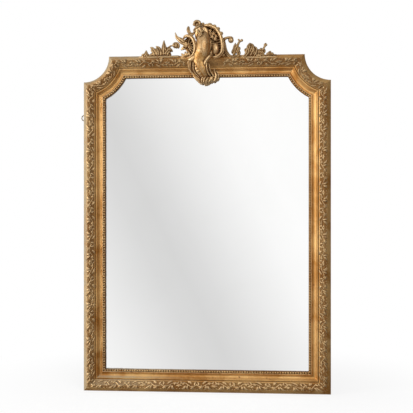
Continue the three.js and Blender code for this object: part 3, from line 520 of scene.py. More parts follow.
# The crest's forms, piece by piece, as carved strokes: (section, rows of [x, z over the frame's top edge,
# f, half width across the line, half height forward], and where needed a leaf's lobes or the distance
# between a shell's growth lines). Flowers are [x, z, f, radius, petals, lean to the right, lean upwards]
# and balls [x, z, f, radius].
RIB_FOOT, RIB_MIDDLE, RIB_END = (-80, 43, 36, 2.5, 4), (36, 2.8, 4.5), (46, 2.2, 4)
CREST_STROKES = {
    "cartouche": [
        # the apron's ground
        ("full", [(-42, -14, 40, 22, 15), (-39, -29, 42, 30, 16), (-35, -49, 42, 36, 15),
            (-26, -69, 41, 36, 14), (-13, -86, 40, 34, 12), (0, -100, 38, 28, 10), (1, -113, 37, 18, 8),
            (-2, -123, 37, 9, 6)]),
        # the body, running down into the apron
        ("full", [(-21, 99, 46, 18, 12), (-14, 80, 50, 26, 24), (-11, 56, 54, 30, 29),
            (-11, 32, 56, 31, 30), (-14, 9, 56, 33, 28), (-21, -9, 54, 35, 23), (-25, -27, 54, 31, 20),
            (-20, -44, 53, 30, 19), (-14, -58, 52, 29, 18), (-8, -72, 50, 25, 16), (-2, -85, 47, 20, 13),
            (5, -95, 44, 14, 9)]),
        # its shoulder
        ("full", [(-21, 67, 44, 24, 12), (-28, 91, 46, 20, 13), (-30, 111, 48, 15, 12),
            (-21, 125, 46, 10, 9)]),
        # the roll at its left
        ("full", [(-30, -6, 54, 22, 22), (-50, -15, 51, 17, 18), (-66, -20, 49, 12, 15),
            (-79, -21, 46, 7, 11)]),
        # the fluted rim at the left
        ("fluted", [(-72, -22, 52, 8, 11), (-70, -36, 53, 8.5, 12), (-69, -50, 51, 8, 11),
            (-66, -63, 47, 6.5, 9), (-60, -74, 44, 5, 8), (-51, -84, 42, 4, 7), (-44, -92, 40, 3.5, 6)]),
        # the thread inside it
        ("round", [(-52, -31, 58, 3, 9), (-52, -43, 60, 3.4, 11), (-52, -58, 58, 3.4, 10),
            (-49, -69, 54, 3.4, 9), (-43, -80, 50, 3.2, 8), (-34, -89, 47, 3, 7), (-26, -98, 45, 3, 6)]),
        # the growth lines of the apron
        ("ribbed", [(-37, -22, 48, 15, 14), (-37, -38, 50, 17, 17), (-32, -54, 50, 18, 18),
            (-25, -68, 49, 17, 17), (-15, -82, 47, 14, 14), (-5, -94, 44, 10, 10)], 12),
        # the ridge right of them
        ("round", [(24, -2, 54, 7, 13), (13, -13, 58, 9, 14), (4, -26, 60, 9, 14), (-1, -38, 60, 8, 13),
            (-3, -50, 57, 6, 11), (2, -62, 54, 5, 9)]),
        # two threads beside it
        ("round", [(5, -33, 58, 3.5, 12), (5, -46, 60, 3.8, 14), (6, -60, 60, 3.8, 14),
            (9, -73, 57, 3.8, 12), (14, -83, 53, 3.8, 10), (22, -91, 49, 3.5, 8)]),
        ("round", [(12, -35, 46, 3, 9), (16, -48, 49, 3.5, 10), (17, -60, 49, 3.5, 10),
            (20, -70, 48, 3.6, 9), (26, -80, 46, 3.8, 8), (33, -89, 44, 3.6, 7), (37, -97, 42, 3, 6)]),
        # the curl at the right
        ("round", [(35, -53, 36, 4, 6), (36, -67, 40, 4.5, 8), (40, -77, 43, 4.5, 9), (44, -87, 44, 5, 9),
            (43, -98, 43, 6, 9), (38, -108, 41, 5, 8), (31, -113, 40, 4, 6)]),
        # a leaf outside it
        ("leaf", [(41, -67, 38, 5, 6), (48, -76, 40, 5, 6), (51, -87, 40, 6, 6), (51, -98, 39, 5, 6),
            (45, -107, 38, 4, 5)]),
        # the boss at the lower right
        ("full", [(14, -93, 42, 10, 10), (23, -102, 42, 15, 11), (33, -106, 41, 12, 9)]),
        # three fingers at the foot
        ("round", [(-9, -90, 46, 4, 8), (-14, -100, 50, 4.5, 9), (-17, -110, 49, 4.5, 8),
            (-16, -119, 44, 3.5, 6), (-18, -123, 41, 2, 4)]),
        ("round", [(2, -92, 47, 4, 8), (-5, -102, 53, 4.5, 9), (-8, -113, 52, 4.6, 8), (-6, -122, 46, 4, 6),
            (-5, -127, 42, 2.5, 4)]),
        ("round", [(13, -94, 46, 4, 8), (7, -105, 53, 4.8, 9), (3, -114, 53, 4.8, 8), (2, -122, 47, 4, 6),
            (4, -126, 42, 2.5, 4)]),
        # a small leaf beside them
        ("leaf", [(22, -100, 44, 5, 7), (16, -110, 49, 5, 8), (10, -118, 46, 4, 6), (8, -124, 41, 2, 4)]),
        # the lobed leaf at the lower left
        ("leaf", [(-55, -85, 39, 4, 6), (-44, -95, 43, 6, 8), (-32, -105, 44, 7.5, 8),
            (-24, -114, 42, 6, 7), (-20, -121, 39, 2.5, 4)], 4),
    ],
    "shell_left": [
        # the C-shaped rim
        ("rim", [(-96, 71, 40, 4, 7), (-90, 79, 44, 6, 10), (-76, 81, 48, 7.5, 13), (-61, 75, 51, 8, 15),
            (-51, 60, 53, 8, 17), (-46, 41, 55, 7.5, 18), (-45, 20, 56, 7.5, 18), (-51, 2, 55, 7, 17),
            (-61, -8, 52, 5.5, 15), (-74, -11, 47, 4, 11), (-83, -8, 43, 3, 8)]),
        # the hollow's ground
        ("gutter", [(-88, 73, 33, 15, 7), (-77, 59, 32, 26, 9), (-64, 31, 32, 26, 8), (-65, 11, 33, 21, 8),
            (-75, -4, 34, 12, 7)]),
        # six ribs that fan out over the ground, by their middle and end
        *(("round", [RIB_FOOT, (*middle, *RIB_MIDDLE), (*end, *RIB_END)]) for middle, end in [
            ((-74, 58), (-69, 71)), ((-69, 52), (-59, 58)), ((-66, 45), (-54, 45)), ((-65, 39), (-51, 32)),
            ((-65, 32), (-52, 19)), ((-69, 27), (-59, 10))]),
        # the long upper leaf
        ("leaf", [(-133, 99, 40, 1.8, 2.5), (-129, 90, 42, 3, 4), (-125, 78, 44, 6.5, 6),
            (-113, 66, 46, 9.5, 8), (-100, 55, 46, 10.5, 8), (-89, 48, 43, 7, 7)]),
        # its side leaf
        ("leaf", [(-117, 76, 43, 3, 4), (-105, 70, 45, 5, 5), (-96, 64, 44, 5, 6), (-88, 55, 42, 4, 5)]),
        # the low leaf
        ("leaf", [(-84, 34, 38, 6, 6), (-94, 32, 40, 8, 6), (-102, 28, 38, 6, 5),
            (-108, 23, 36, 1.8, 2.5)]),
        # four tips at the foot
        ("leaf", [(-75, -8, 42, 5, 7), (-72, 2, 48, 6.5, 8), (-73, 10, 48, 5, 6), (-76, 18, 44, 2, 3)]),
        ("leaf", [(-80, -9, 42, 5, 7), (-83, 0, 48, 7, 8), (-87, 9, 48, 5, 6), (-89, 16, 44, 2, 3)]),
        ("leaf", [(-84, -11, 42, 5, 7), (-93, -4, 48, 7, 8), (-101, 3, 47, 5, 6), (-107, 7, 43, 2, 3)]),
        ("leaf", [(-85, -14, 42, 5, 7), (-97, -11, 46, 6, 7), (-106, -8, 44, 4, 5), (-112, -8, 41, 2, 3)]),
    ],
    "shell_right": [
        # the C-shaped rim
        ("rim", [(-12, 122, 40, 4, 8), (-3, 125, 45, 6, 12), (14, 124, 49, 7, 15), (31, 118, 52, 7.5, 17),
            (45, 108, 54, 7.8, 19), (57, 92, 55, 8, 20), (66, 72, 56, 8, 20), (71, 49, 56, 8, 20),
            (73, 27, 56, 8, 20), (70, 9, 56, 8, 20), (62, -3, 55, 7.5, 19), (49, -11, 53, 7, 17),
            (37, -12, 50, 5.5, 14), (26, -7, 46, 4, 10)]),
        # the hollow's ground
        ("gutter", [(-10, 116, 33, 11, 6), (2, 112, 33, 21, 8), (19, 94, 32, 34, 10), (31, 69, 31, 41, 11),
            (35, 40, 31, 42, 11), (33, 14, 32, 36, 10), (29, -5, 34, 20, 8)]),
        # the wall beside the body
        ("full", [(-9, 125, 42, 9, 9), (-3, 104, 42, 14, 10), (1, 79, 42, 16, 10), (5, 47, 42, 16, 10),
            (10, 14, 42, 14, 9)]),
        # four crests outside the rim
        ("leaf", [(6, 127, 36, 7, 8), (16, 130, 37, 8, 8), (27, 130, 36, 5, 5)]),
        ("leaf", [(28, 123, 36, 7, 8), (37, 123, 37, 8, 8), (45, 122, 36, 5, 5)]),
        ("leaf", [(44, 113, 36, 7, 8), (53, 112, 37, 8, 8), (60, 109, 36, 5, 5)]),
        ("leaf", [(59, 96, 36, 7, 8), (66, 92, 37, 8, 8), (71, 86, 36, 5, 5)]),
        # the low rib outside them
        ("round", [(74, 72, 40, 5, 7), (80, 48, 41, 5.5, 8), (82, 24, 41, 5.5, 8), (78, 4, 40, 5, 7)]),
        # the egg in the hollow
        ("full", [(38, 53, 38, 10, 9), (41, 38, 42, 14, 13), (42, 22, 43, 15, 14), (39, 8, 41, 13, 12),
            (35, -2, 38, 7, 8)]),
        # the thread left of it
        ("round", [(15, 70, 42, 2.5, 6), (20, 56, 45, 3, 8), (22, 40, 46, 3, 8), (20, 26, 45, 3, 8),
            (17, 16, 42, 2.5, 6)]),
        # two leaves at the foot
        ("leaf", [(27, -6, 42, 5, 7), (24, 3, 48, 5, 8), (24, 13, 47, 4, 6), (27, 20, 43, 2, 3)]),
        ("leaf", [(36, -8, 42, 4, 7), (44, -2, 45, 5, 7), (50, 5, 43, 3, 5)]),
        # the ball-ended scroll
        ("rim", [(76, 58, 38, 6, 8), (80, 67, 42, 6, 10), (89, 71, 44, 5.5, 10), (99, 73, 44, 5, 9),
            (109, 73, 43, 4.5, 8), (117, 68, 41, 3, 6)]),
    ],
    "finial": [
        # the stem
        ("round", [(-36, 108, 46, 9, 10), (-37, 119, 48, 8.5, 10), (-36, 130, 48, 7, 8),
            (-35, 136, 47, 5, 6)]),
        # its collar
        ("round", [(-48, 109, 50, 4, 7), (-41, 114, 56, 5.5, 8), (-31, 118, 58, 5.5, 8),
            (-22, 123, 55, 4.5, 7), (-18, 129, 50, 3, 5)]),
        # the open curl
        ("round", [(-33, 124, 49, 5, 7), (-27, 129, 51, 6, 7), (-25, 136, 51, 6, 7), (-31, 142, 50, 6, 7),
            (-41, 143, 50, 6, 7), (-48, 138, 50, 5.5, 7), (-47, 130, 49, 4, 6)]),
        # the leaf at its left
        ("leaf", [(-42, 128, 47, 6, 6), (-50, 129, 49, 6, 6), (-56, 133, 46, 2, 3)]),
        # its ground
        ("full", [(-37, 126, 40, 8, 5), (-37, 134, 41, 11, 6), (-36, 141, 40, 8, 5)]),
        # the leaf at its right
        ("leaf", [(-31, 122, 47, 6, 6), (-22, 126, 48, 6, 6), (-15, 127, 46, 4, 4)]),
        # the left lip
        ("round", [(-48, 113, 46, 4, 8), (-49, 103, 50, 5, 9), (-44, 93, 52, 6, 9)]),
        # the right lip
        ("round", [(-28, 118, 50, 5, 8), (-18, 123, 50, 5, 8), (-12, 130, 47, 4, 6)]),
        # the horn-shaped leaf
        ("leaf", [(-74, 125, 40, 3, 4), (-75, 118, 42, 6, 5), (-75, 108, 45, 7.8, 7), (-72, 98, 46, 7.5, 7),
            (-66, 91, 46, 6.5, 7), (-55, 91, 46, 5, 7), (-48, 96, 46, 4, 6)]),
        # its twig
        ("round", [(-66, 85, 44, 2.5, 5), (-58, 86, 47, 3.5, 6), (-50, 89, 47, 3, 6)]),
        # the drop over the body
        ("round", [(-33, 106, 56, 5, 8), (-28, 95, 66, 5, 9), (-23, 86, 74, 5, 8)]),
        # its two leaves
        ("leaf", [(-22, 89, 76, 4, 6), (-15, 94, 80, 6, 6), (-8, 94, 79, 4.5, 5), (-4, 90, 75, 2, 3)]),
        ("leaf", [(-27, 76, 74, 4, 6), (-23, 69, 75, 4.5, 6), (-16, 68, 72, 2.5, 4)]),
    ],
    "spray_left": [
        # the stalk
        ("round", [(-295, -5, 34, 3, 6), (-273, -6, 40, 6, 9), (-240, -8, 44, 8, 11), (-195, -8, 46, 8, 12),
            (-151, -8, 46, 7, 11), (-112, -7, 44, 7, 11)]),
        # three leaves of the bud
        ("leaf", [(-259, 2, 42, 10.5, 8), (-257, 11, 43, 8.5, 6), (-257, 19, 41, 4.5, 4),
            (-257, 25, 39, 1.5, 2.5)]),
        ("leaf", [(-262, -6, 42, 8, 7), (-270, 2, 44, 8, 7), (-278, 4, 41, 2, 3)]),
        ("leaf", [(-255, -6, 42, 8, 7), (-248, 2, 44, 8, 7), (-243, 7, 41, 2, 3)]),
        # two lobed leaves, and one between them
        ("leaf", [(-215, -8, 46, 8, 8), (-217, 7, 50, 11.5, 8), (-225, 21, 48, 10.5, 7),
            (-232, 32, 44, 6.5, 5), (-241, 36, 41, 2, 2.5)], 2),
        ("leaf", [(-210, -6, 47, 6.5, 8), (-206, 7, 52, 9, 8), (-210, 22, 50, 8, 6),
            (-213, 33, 46, 2.5, 3.5)]),
        ("leaf", [(-199, -6, 46, 9, 8), (-197, 9, 50, 11.5, 8), (-201, 24, 46, 10.5, 6),
            (-207, 34, 42, 8, 5), (-216, 42, 39, 2, 2.5)], 2),
        # two low leaves
        ("leaf", [(-232, -7, 45, 8, 8), (-233, 3, 48, 9, 7), (-236, 11, 44, 2.5, 3.5)]),
        ("leaf", [(-184, -6, 45, 9, 8), (-186, 4, 48, 9, 7), (-189, 16, 45, 4, 4)]),
        # the spear
        ("spear", [(-181, 0, 46, 6, 8), (-180, 15, 49, 10, 9), (-179, 33, 48, 11, 9),
            (-180, 50, 44, 6.5, 7), (-180, 67, 40, 1.4, 2.5)]),
        # the lobed leaf right of it
        ("leaf", [(-172, -4, 46, 8, 8), (-166, 8, 50, 11, 8), (-158, 19, 49, 11.5, 8),
            (-149, 21, 45, 8.5, 6), (-142, 16, 42, 2, 2.5)], 2),
        # its side leaves
        ("leaf", [(-165, -5, 45, 8, 8), (-156, 3, 48, 10, 7), (-148, 7, 44, 4, 4)]),
        ("leaf", [(-167, 16, 44, 8, 7), (-161, 27, 45, 10.5, 7), (-157, 34, 43, 6.5, 5),
            (-153, 40, 41, 2, 3)]),
        # the bell flower's twig
        ("round", [(-162, 32, 42, 3, 4.5), (-154, 40, 42, 3.2, 4), (-142, 42, 42, 2.8, 4),
            (-133, 44, 42, 4, 5)]),
        # its three petals
        ("leaf", [(-131, 58, 40, 2, 3), (-132, 50, 43, 10, 7), (-133, 40, 44, 10.5, 7),
            (-136, 31, 41, 4.5, 4)]),
        ("leaf", [(-130, 56, 40, 4, 4), (-122, 48, 42, 8, 6), (-118, 39, 42, 7, 6),
            (-119, 29, 40, 2.5, 3)]),
        ("leaf", [(-130, 50, 42, 4, 5), (-127, 39, 46, 6.5, 6), (-126, 29, 42, 2, 3)]),
    ],
    "spray_right": [
        # the filler towards the shell
        ("full", [(64, -4, 36, 9, 6), (77, 1, 37, 9, 7), (89, 4, 37, 8, 6)]),
        # the U-shaped band
        ("fluted", [(83, 46, 38, 4, 6), (82, 30, 41, 7, 9), (87, 11, 44, 8.5, 11), (100, -6, 46, 8, 12),
            (118, -13, 47, 8, 12), (134, -7, 47, 7.5, 11), (143, 5, 46, 6, 8), (143, 16, 44, 3.5, 5)]),
        # its branch
        ("fluted", [(118, -4, 44, 6, 8), (126, 15, 48, 7.5, 9), (132, 31, 50, 7, 8), (140, 48, 47, 5, 6),
            (144, 60, 44, 3, 4)]),
        # two leaves
        ("leaf", [(132, 3, 46, 6, 8), (141, 23, 50, 7, 8), (145, 33, 47, 3, 4)], 2),
        ("leaf", [(112, 4, 40, 6, 7), (119, 22, 41, 7, 7), (124, 39, 40, 5.5, 5),
            (126, 52, 38, 1.8, 2.5)], 2),
    ],
    "acanthus": [
        # four leaves
        ("leaf", [(150, -12, 44, 4, 6), (165, -9, 48, 8, 9), (176, 4, 52, 10, 10), (181, 22, 52, 10, 9),
            (185, 39, 48, 7, 7), (188, 50, 44, 2, 3)], 3),
        ("leaf", [(183, -9, 46, 9, 9), (193, 8, 50, 11, 9), (199, 24, 50, 11, 9), (196, 39, 46, 7, 6),
            (189, 48, 43, 2, 3)], 3),
        ("leaf", [(197, -11, 44, 9, 9), (209, 4, 48, 10, 9), (212, 21, 46, 9, 8), (205, 35, 43, 3, 4)], 3),
        ("leaf", [(212, -12, 40, 7, 8), (222, 2, 42, 7, 7), (222, 15, 40, 2.5, 3.5)], 2),
        # the curl
        ("round", [(173, 25, 48, 3, 5), (167, 18, 49, 4, 6), (171, 9, 49, 3, 5)]),
        # the stalk along the base
        ("round", [(146, -13, 42, 5, 8), (183, -14, 46, 8, 11), (224, -14, 44, 7, 10)]),
    ],
    "bouquet": [
        # the stalk along the base
        ("round", [(208, -15, 42, 6, 9), (232, -15, 46, 8, 12), (255, -14, 46, 8, 12),
            (275, -13, 44, 7, 11), (297, -11, 40, 5, 9), (318, -10, 36, 2.5, 6)]),
        # the upright twig
        ("round", [(238, 4, 43, 5, 6), (243, 19, 43, 5, 6), (249, 31, 43, 4.5, 5), (253, 39, 43, 5, 5)]),
        # seven leaves
        ("leaf", [(234, 7, 42, 5, 6), (233, 18, 43, 6.5, 6), (236, 29, 40, 2, 3)]),
        ("leaf", [(247, 4, 42, 5, 6), (250, 15, 42, 5, 5), (252, 22, 40, 2, 3)]),
        ("leaf", [(224, 5, 42, 5, 6), (223, 16, 42, 6, 6), (227, 23, 40, 2, 3)]),
        ("leaf", [(266, -4, 42, 6, 7), (271, 6, 44, 7, 6), (277, 14, 41, 2.5, 3.5)]),
        ("leaf", [(275, -7, 42, 6, 7), (282, 2, 43, 6.5, 6), (288, 6, 40, 2, 3)]),
        ("leaf", [(282, -11, 40, 6, 7), (294, -4, 40, 5, 6), (305, -4, 37, 2, 3)]),
        ("leaf", [(297, -13, 37, 4, 6), (309, -8, 37, 4, 5), (320, -8, 35, 1.8, 2.5)]),
    ],
}
CREST_FLOWERS = {
    "cartouche": [(-34, -22, 60, 10, 0, -0.2, 0.2)],
    "shell_left": [(-86, 43, 51, 12.5, 5, -0.35, 0.15)],
    "shell_right": [(17, 92, 45, 10, 5, -0.3, 0.3), (4, 88, 42, 8, 5, -0.2, 0.1),
        (33, 92, 44, 9, 5, 0.1, 0.3), (25, 78, 45, 9, 5, 0, -0.1), (40, 68, 45, 9, 5, 0.3, 0),
        (45, 82, 42, 8, 5, 0.3, 0.2), (18, 105, 42, 8, 5, 0, 0.4)],
    "finial": [(-21, 81, 80, 10.5, 6, -0.3, -0.1)],
    "spray_left": [(-260, -2, 47, 12, 5, -0.3, 0.2), (-221, 2, 48, 9, 5, -0.2, 0.1),
        (-191, -13, 54, 9, 5, 0, 0.2)],
    "bouquet": [(225, 8, 46, 11, 5, -0.2, 0.2), (239, 5, 49, 10, 5, 0, 0.1), (223, -8, 50, 11, 5, -0.2, 0),
        (244, -6, 51, 10, 5, 0.1, 0), (266, -1, 48, 10, 5, 0, 0.3), (254, -11, 50, 10, 5, 0.2, 0.1),
        (274, -8, 47, 9.5, 5, 0.2, 0.2), (232, -9, 52, 9, 5, 0, -0.1), (254, 40, 44, 8.5, 4, 0.1, 0.2),
        (288, -7, 43, 8.5, 5, 0.3, 0.2)],
}
CREST_BALLS = {
    "shell_right": [(107, 61, 44, 12)],
    "finial": [(-12, 132, 46, 6.5)],
    "spray_right": [(140, 63, 43, 4.5), (153, 60, 44, 6), (146, 56, 43, 5)],
}
CREST_BACK = 21.5  # f of the plane behind the carving
CREST_VOXEL = 1.25  # the carving's finest detail, in mm
STROKE_SIDES = 28
# a flower's profile from its stalk outwards and in to its heart, in radii: reach, and height
FLOWER_REACH = [0.25, 0.7, 0.96, 1.0, 0.93, 0.84, 0.74, 0.64, 0.54, 0.46, 0.39, 0.33, 0.27, 0.2, 0.12, 0.03]
FLOWER_RISE = [-1.0, -0.55, -0.15, 0.06, 0.24, 0.36, 0.43, 0.45, 0.42, 0.33, 0.2, 0.3, 0.46, 0.52, 0.55, 0.56]


def section_front(kind, a, s, spacing):
    """A stroke's front over its line at a (across, -1 to 1) and s (mm along): a half circle that is plain,
    grooved for a rim, fluted, creased along the midrib with slanting veins for a leaf, hollowed for a
    gutter, or crossed by growth lines for a shell."""
    dome = np.sqrt(np.clip(1 - a**2, 0, 1))
    if kind == "rim":
        return dome**0.7 - 0.34 * np.exp(-(((a + 0.45) / 0.17) ** 2))
    if kind == "fluted":
        return dome * (0.8 + 0.2 * np.cos(3 * np.pi * a))
    if kind == "leaf":
        veins = 0.09 * np.cos(2 * np.pi * (s / 5.2 - 1.1 * np.abs(a)))
        return dome**0.8 * (1 - 0.46 * np.exp(-((a / 0.2) ** 2)) + veins)
    if kind == "spear":
        return dome * (1 - 0.5 * np.exp(-(((np.abs(a) - 0.42) / 0.15) ** 2)))
    if kind == "gutter":
        return np.minimum(1.5 * dome, 1.15 * a**2 - 0.1 + 0.12 * np.cos(2 * np.pi * s / 9.0))
    if kind == "ribbed":
        return dome**0.6 * (1 + 0.035 * np.cos(2 * np.pi * s / spacing))
    return dome


def carved_stroke(kind, rows, lobes=0):
    """A section carried along a smooth line through the rows, square to it in x and z. Its ends are domed:
    the half sizes there fall off like a half circle. Its back narrows towards the crest's back plane."""
    rows = np.asarray(rows, float)
    length = np.sum(np.linalg.norm(np.diff(rows[:, :3], axis=0), axis=1))
    count = max(8, int(length / 1.4))
    line = catmull(rows, count)
    s = np.linspace(0, length, count)
    way = np.gradient(line[:, :2], axis=0)
    way /= np.maximum(np.linalg.norm(way, axis=1), 1e-6)[:, None]
    caps = np.maximum(np.minimum(rows[[0, -1], 3], rows[[0, -1], 4]), 1.0)
    near = np.minimum(s / caps[0], (length - s) / caps[1])
    taper = np.sqrt(np.clip(1 - (1 - np.clip(near, 0, 1)) ** 2, 0.004, 1))
    across, rise = np.maximum(line[:, 3], 0.6) * taper, np.maximum(line[:, 4], 0.6) * taper
    if lobes and kind == "leaf":
        across = across * (0.8 + 0.28 * np.abs(np.sin(lobes * np.pi * s / length + 0.4)))
    angle = np.arange(STROKE_SIDES) * 2 * np.pi / STROKE_SIDES
    a, is_front = np.cos(angle)[None, :], (np.sin(angle) >= 0)[None, :]
    front = section_front(kind, a, s[:, None], lobes) * rise[:, None]
    depth = np.maximum(rise, 0.55 * (line[:, 2] - CREST_BACK) * taper)[:, None]
    back = -np.sqrt(np.clip(1 - a**2, 0, 1)) * depth
    b = np.where(is_front, front, back)
    a = np.where(is_front, a, a * (1 - 0.25 * np.sqrt(np.clip(1 - a**2, 0, 1))))
    x = line[:, 0, None] + way[:, 1, None] * a * across[:, None]
    z = line[:, 1, None] - way[:, 0, None] * a * across[:, None]
    f = np.maximum(line[:, 2, None] + b, CREST_BACK)
    return shell(np.stack([x, -f, z + FRAME_HEIGHT], -1), tube_quads(count, STROKE_SIDES))


def carved_flower(x0, z0, f0, radius, petals, lean_x, lean_z):
    """A flower in polar rings: a stalk that opens to lobed petals, which dome between slits and dip to a
    ring round the heart. It leans by shearing its height sideways."""
    reach, rise = np.array(FLOWER_REACH)[:, None], np.array(FLOWER_RISE)[:, None]
    angle = np.arange(60)[None, :] * 2 * np.pi / 60 + 0.7 * petals
    lobe = np.abs(np.cos(petals * angle / 2))
    outer = np.clip((reach - 0.36) / 0.3, 0, 1)
    r = radius * reach * (1 - 0.3 * outer * (1 - lobe**0.7))
    h = radius * (rise - 0.3 * outer * (1 - lobe**0.5) * (rise > 0))
    x, z = r * np.cos(angle), r * np.sin(angle)
    f = np.maximum(f0 + h - lean_x * x - lean_z * z, CREST_BACK)
    points = np.stack([x0 + x + lean_x * h, -f, FRAME_HEIGHT + z0 + z + lean_z * h], -1)
    return shell(points, tube_quads(*r.shape))


def carved_ball(x0, z0, f0, radius):
    """A ball in rings of latitude."""
    around, up = np.meshgrid(np.arange(28) * 2 * np.pi / 28, np.linspace(-1.53, 1.53, 16), indexing="xy")
    x, z = radius * np.cos(up) * np.cos(around), radius * np.cos(up) * np.sin(around)
    points = np.stack([x0 + x, -f0 - radius * np.sin(up), FRAME_HEIGHT + z0 + z], -1)
    return shell(points, tube_quads(*up.shape))


def joined_carving(name, shells):
    """One skin over overlapping closed forms: a voxel remesh, smoothed by moving each point towards its
    neighbours' mean and a little less far back, with the Hollow and shade value from that mean at three scales."""
    rough = write_mesh(name + "_forms", shells)
    remesh = rough.modifiers.new("Join", "REMESH")
    remesh.mode, remesh.voxel_size, remesh.adaptivity = "VOXEL", CREST_VOXEL * 0.001, 0.0
    mesh = bpy.data.meshes.new_from_object(rough.evaluated_get(bpy.context.evaluated_depsgraph_get()))
    bpy.data.objects.remove(rough)
    mesh.name = name
    count = len(mesh.vertices)
    points, ends = np.empty(count * 3), np.empty(len(mesh.edges) * 2, np.int64)
    mesh.vertices.foreach_get("co", points)
    mesh.edges.foreach_get("vertices", ends)
    points, ends = points.reshape(-1, 3), ends.reshape(-1, 2)
    near = np.concatenate([ends, ends[:, ::-1]])
    degree = np.maximum(np.bincount(near[:, 0], minlength=count), 1)[:, None]

    def mean(values):
        sums = [np.bincount(near[:, 0], values[near[:, 1], i], count) for i in range(3)]
        return np.stack(sums, 1) / degree

    for share in (0.6, -0.55) * 2:
        points = points + share * (mean(points) - points)
    mesh.vertices.foreach_set("co", points.reshape(-1))
    mesh.update()
    normals = np.empty(count * 3)
    mesh.vertices.foreach_get("normal", normals)
    hollow, blurred, done = np.zeros(count), points, 0
    # the two finer scales mark hollows for dirt; the widest paints shade into the deep hollows between the
    # forms
    for rounds, weight, reach in ((6, 1.0, 0.25), (30, 0.9, 0.9), (160, 0.7, 3.2)):
        while done < rounds:
            blurred, done = mean(blurred), done + 1
        depth = np.einsum("ij,ij->i", blurred - points, normals.reshape(-1, 3)) * 1000
        hollow += weight * np.clip(depth / reach, -1, 1)
    column = np.clip(hollow / 1.6, -1, 1)
    mesh.attributes.new("hollow", "FLOAT", "POINT").data.foreach_set("value", column.astype(np.float32))
    mesh.polygons.foreach_set("use_smooth", np.ones(len(mesh.polygons), bool))
    made = bpy.data.objects.new(name, mesh)
    bpy.context.scene.collection.objects.link(made)
    return made


class MIRROR_OT_crest(bpy.types.Operator):
    """Carves the crest's eight pieces out of strokes, flowers and balls"""

    bl_idname = "mirror.crest"
    bl_label = "Crest"

    def execute(self, context):
        for piece, strokes in CREST_STROKES.items():
            shells = [carved_stroke(*stroke) for stroke in strokes]
            shells += [carved_flower(*flower) for flower in CREST_FLOWERS.get(piece, [])]
            shells += [carved_ball(*ball) for ball in CREST_BALLS.get(piece, [])]
            made = joined_carving(f"carved_crest_{piece}", shells)
            # the finial, sprays, acanthus and bouquet take a darker copy of the crest's gilding
            finish = "Gilded crest" if piece in ("cartouche", "shell_left", "shell_right") else "Sooty crest"
            finish_piece(made, gilding(context, finish), stands_for=[f"crest_{piece}"])
        return {"FINISHED"}


# ---------------------------------------------------------------- materials


def new_material(name):
    """An empty node material with a Principled shader; returns the material, its tree and the shader."""
    made = bpy.data.materials.new(name)
    made.use_nodes = True
    tree = made.node_tree
    tree.nodes.clear()
    out = tree.nodes.new("ShaderNodeOutputMaterial")
    shader = tree.nodes.new("ShaderNodeBsdfPrincipled")
    tree.links.new(shader.outputs[0], out.inputs[0])
    return made, tree, shader


def math_node(tree, operation, a, b=0.0, clamp=False):
    """One Math node; a and b are sockets or numbers."""
    node = tree.nodes.new("ShaderNodeMath")
    node.operation, node.use_clamp = operation, clamp
    for socket, value in zip(node.inputs, (a, b)):
        if isinstance(value, (int, float)):
            socket.default_value = value
        else:
            tree.links.new(value, socket)
    return node.outputs[0]


def plus(tree, a, b, clamp=False):
    return math_node(tree, "ADD", a, b, clamp)


def minus(tree, a, b):
    return math_node(tree, "SUBTRACT", a, b)


def times(tree, a, b):
    return math_node(tree, "MULTIPLY", a, b)


def mix_colour(tree, amount, a, b):
    """A Mix node for colours; amount, a and b are sockets or values."""
    node = tree.nodes.new("ShaderNodeMix")
    node.data_type = "RGBA"
    for socket, value in zip((node.inputs[0], node.inputs[6], node.inputs[7]), (amount, a, b)):
        if hasattr(value, "is_output"):
            tree.links.new(value, socket)
        else:
            socket.default_value = value
    return node.outputs[2]


def noise_node(tree, where, scale, detail=3.0, rough=0.55, distortion=0.0):
    """A Noise texture's value at a place."""
    node = tree.nodes.new("ShaderNodeTexNoise")
    node.inputs["Scale"].default_value = scale
    node.inputs["Detail"].default_value = detail
    node.inputs["Roughness"].default_value = rough
    node.inputs["Distortion"].default_value = distortion
    tree.links.new(where, node.inputs["Vector"])
    return node.outputs[0]


def step_node(tree, value, low, high, to_low=0.0, to_high=1.0):
    """A smooth step of a value between low and high."""
    node = tree.nodes.new("ShaderNodeMapRange")
    node.interpolation_type = "SMOOTHSTEP"
    tree.links.new(value, node.inputs["Value"])
    for name, number in (("From Min", low), ("From Max", high), ("To Min", to_low), ("To Max", to_high)):
        node.inputs[name].default_value = number
    return node.outputs[0]


def raise_surface(tree, shader, height, strength, distance):
    """Bumps a shader's surface by a height value; the distance is in metres."""
    bump = tree.nodes.new("ShaderNodeBump")
    bump.inputs["Strength"].default_value = strength
    bump.inputs["Distance"].default_value = distance
    tree.links.new(height, bump.inputs["Height"])
    tree.links.new(bump.outputs[0], shader.inputs["Normal"])


def mix_shader(tree, amount, a, b):
    """A Mix Shader node; a is seen where amount is 0 and b where it is 1."""
    node = tree.nodes.new("ShaderNodeMixShader")
    for socket, value in zip(node.inputs, (amount, a, b)):
        tree.links.new(value, socket)
    return node.outputs[0]


def split(tree, vector):
    """The X, Y and Z sockets of a vector."""
    node = tree.nodes.new("ShaderNodeSeparateXYZ")
    tree.links.new(vector, node.inputs[0])
    return node.outputs


def new_group(name, inputs, outputs):
    """A node group with named sockets; returns it with its input and output nodes."""
    group = bpy.data.node_groups.new(name, "ShaderNodeTree")
    for label, kind, value in inputs:
        socket = group.interface.new_socket(label, in_out="INPUT", socket_type=kind)
        if value is not None:
            socket.default_value = value
    for label, kind in outputs:
        group.interface.new_socket(label, in_out="OUTPUT", socket_type=kind)
    return group, group.nodes.new("NodeGroupInput"), group.nodes.new("NodeGroupOutput")


FLOAT, COLOUR, VECTOR = "NodeSocketFloat", "NodeSocketColor", "NodeSocketVector"
GILT_COLOURS = ("Leaf", "Deep leaf", "Rubbed", "Bole", "Dirt", "Dust")


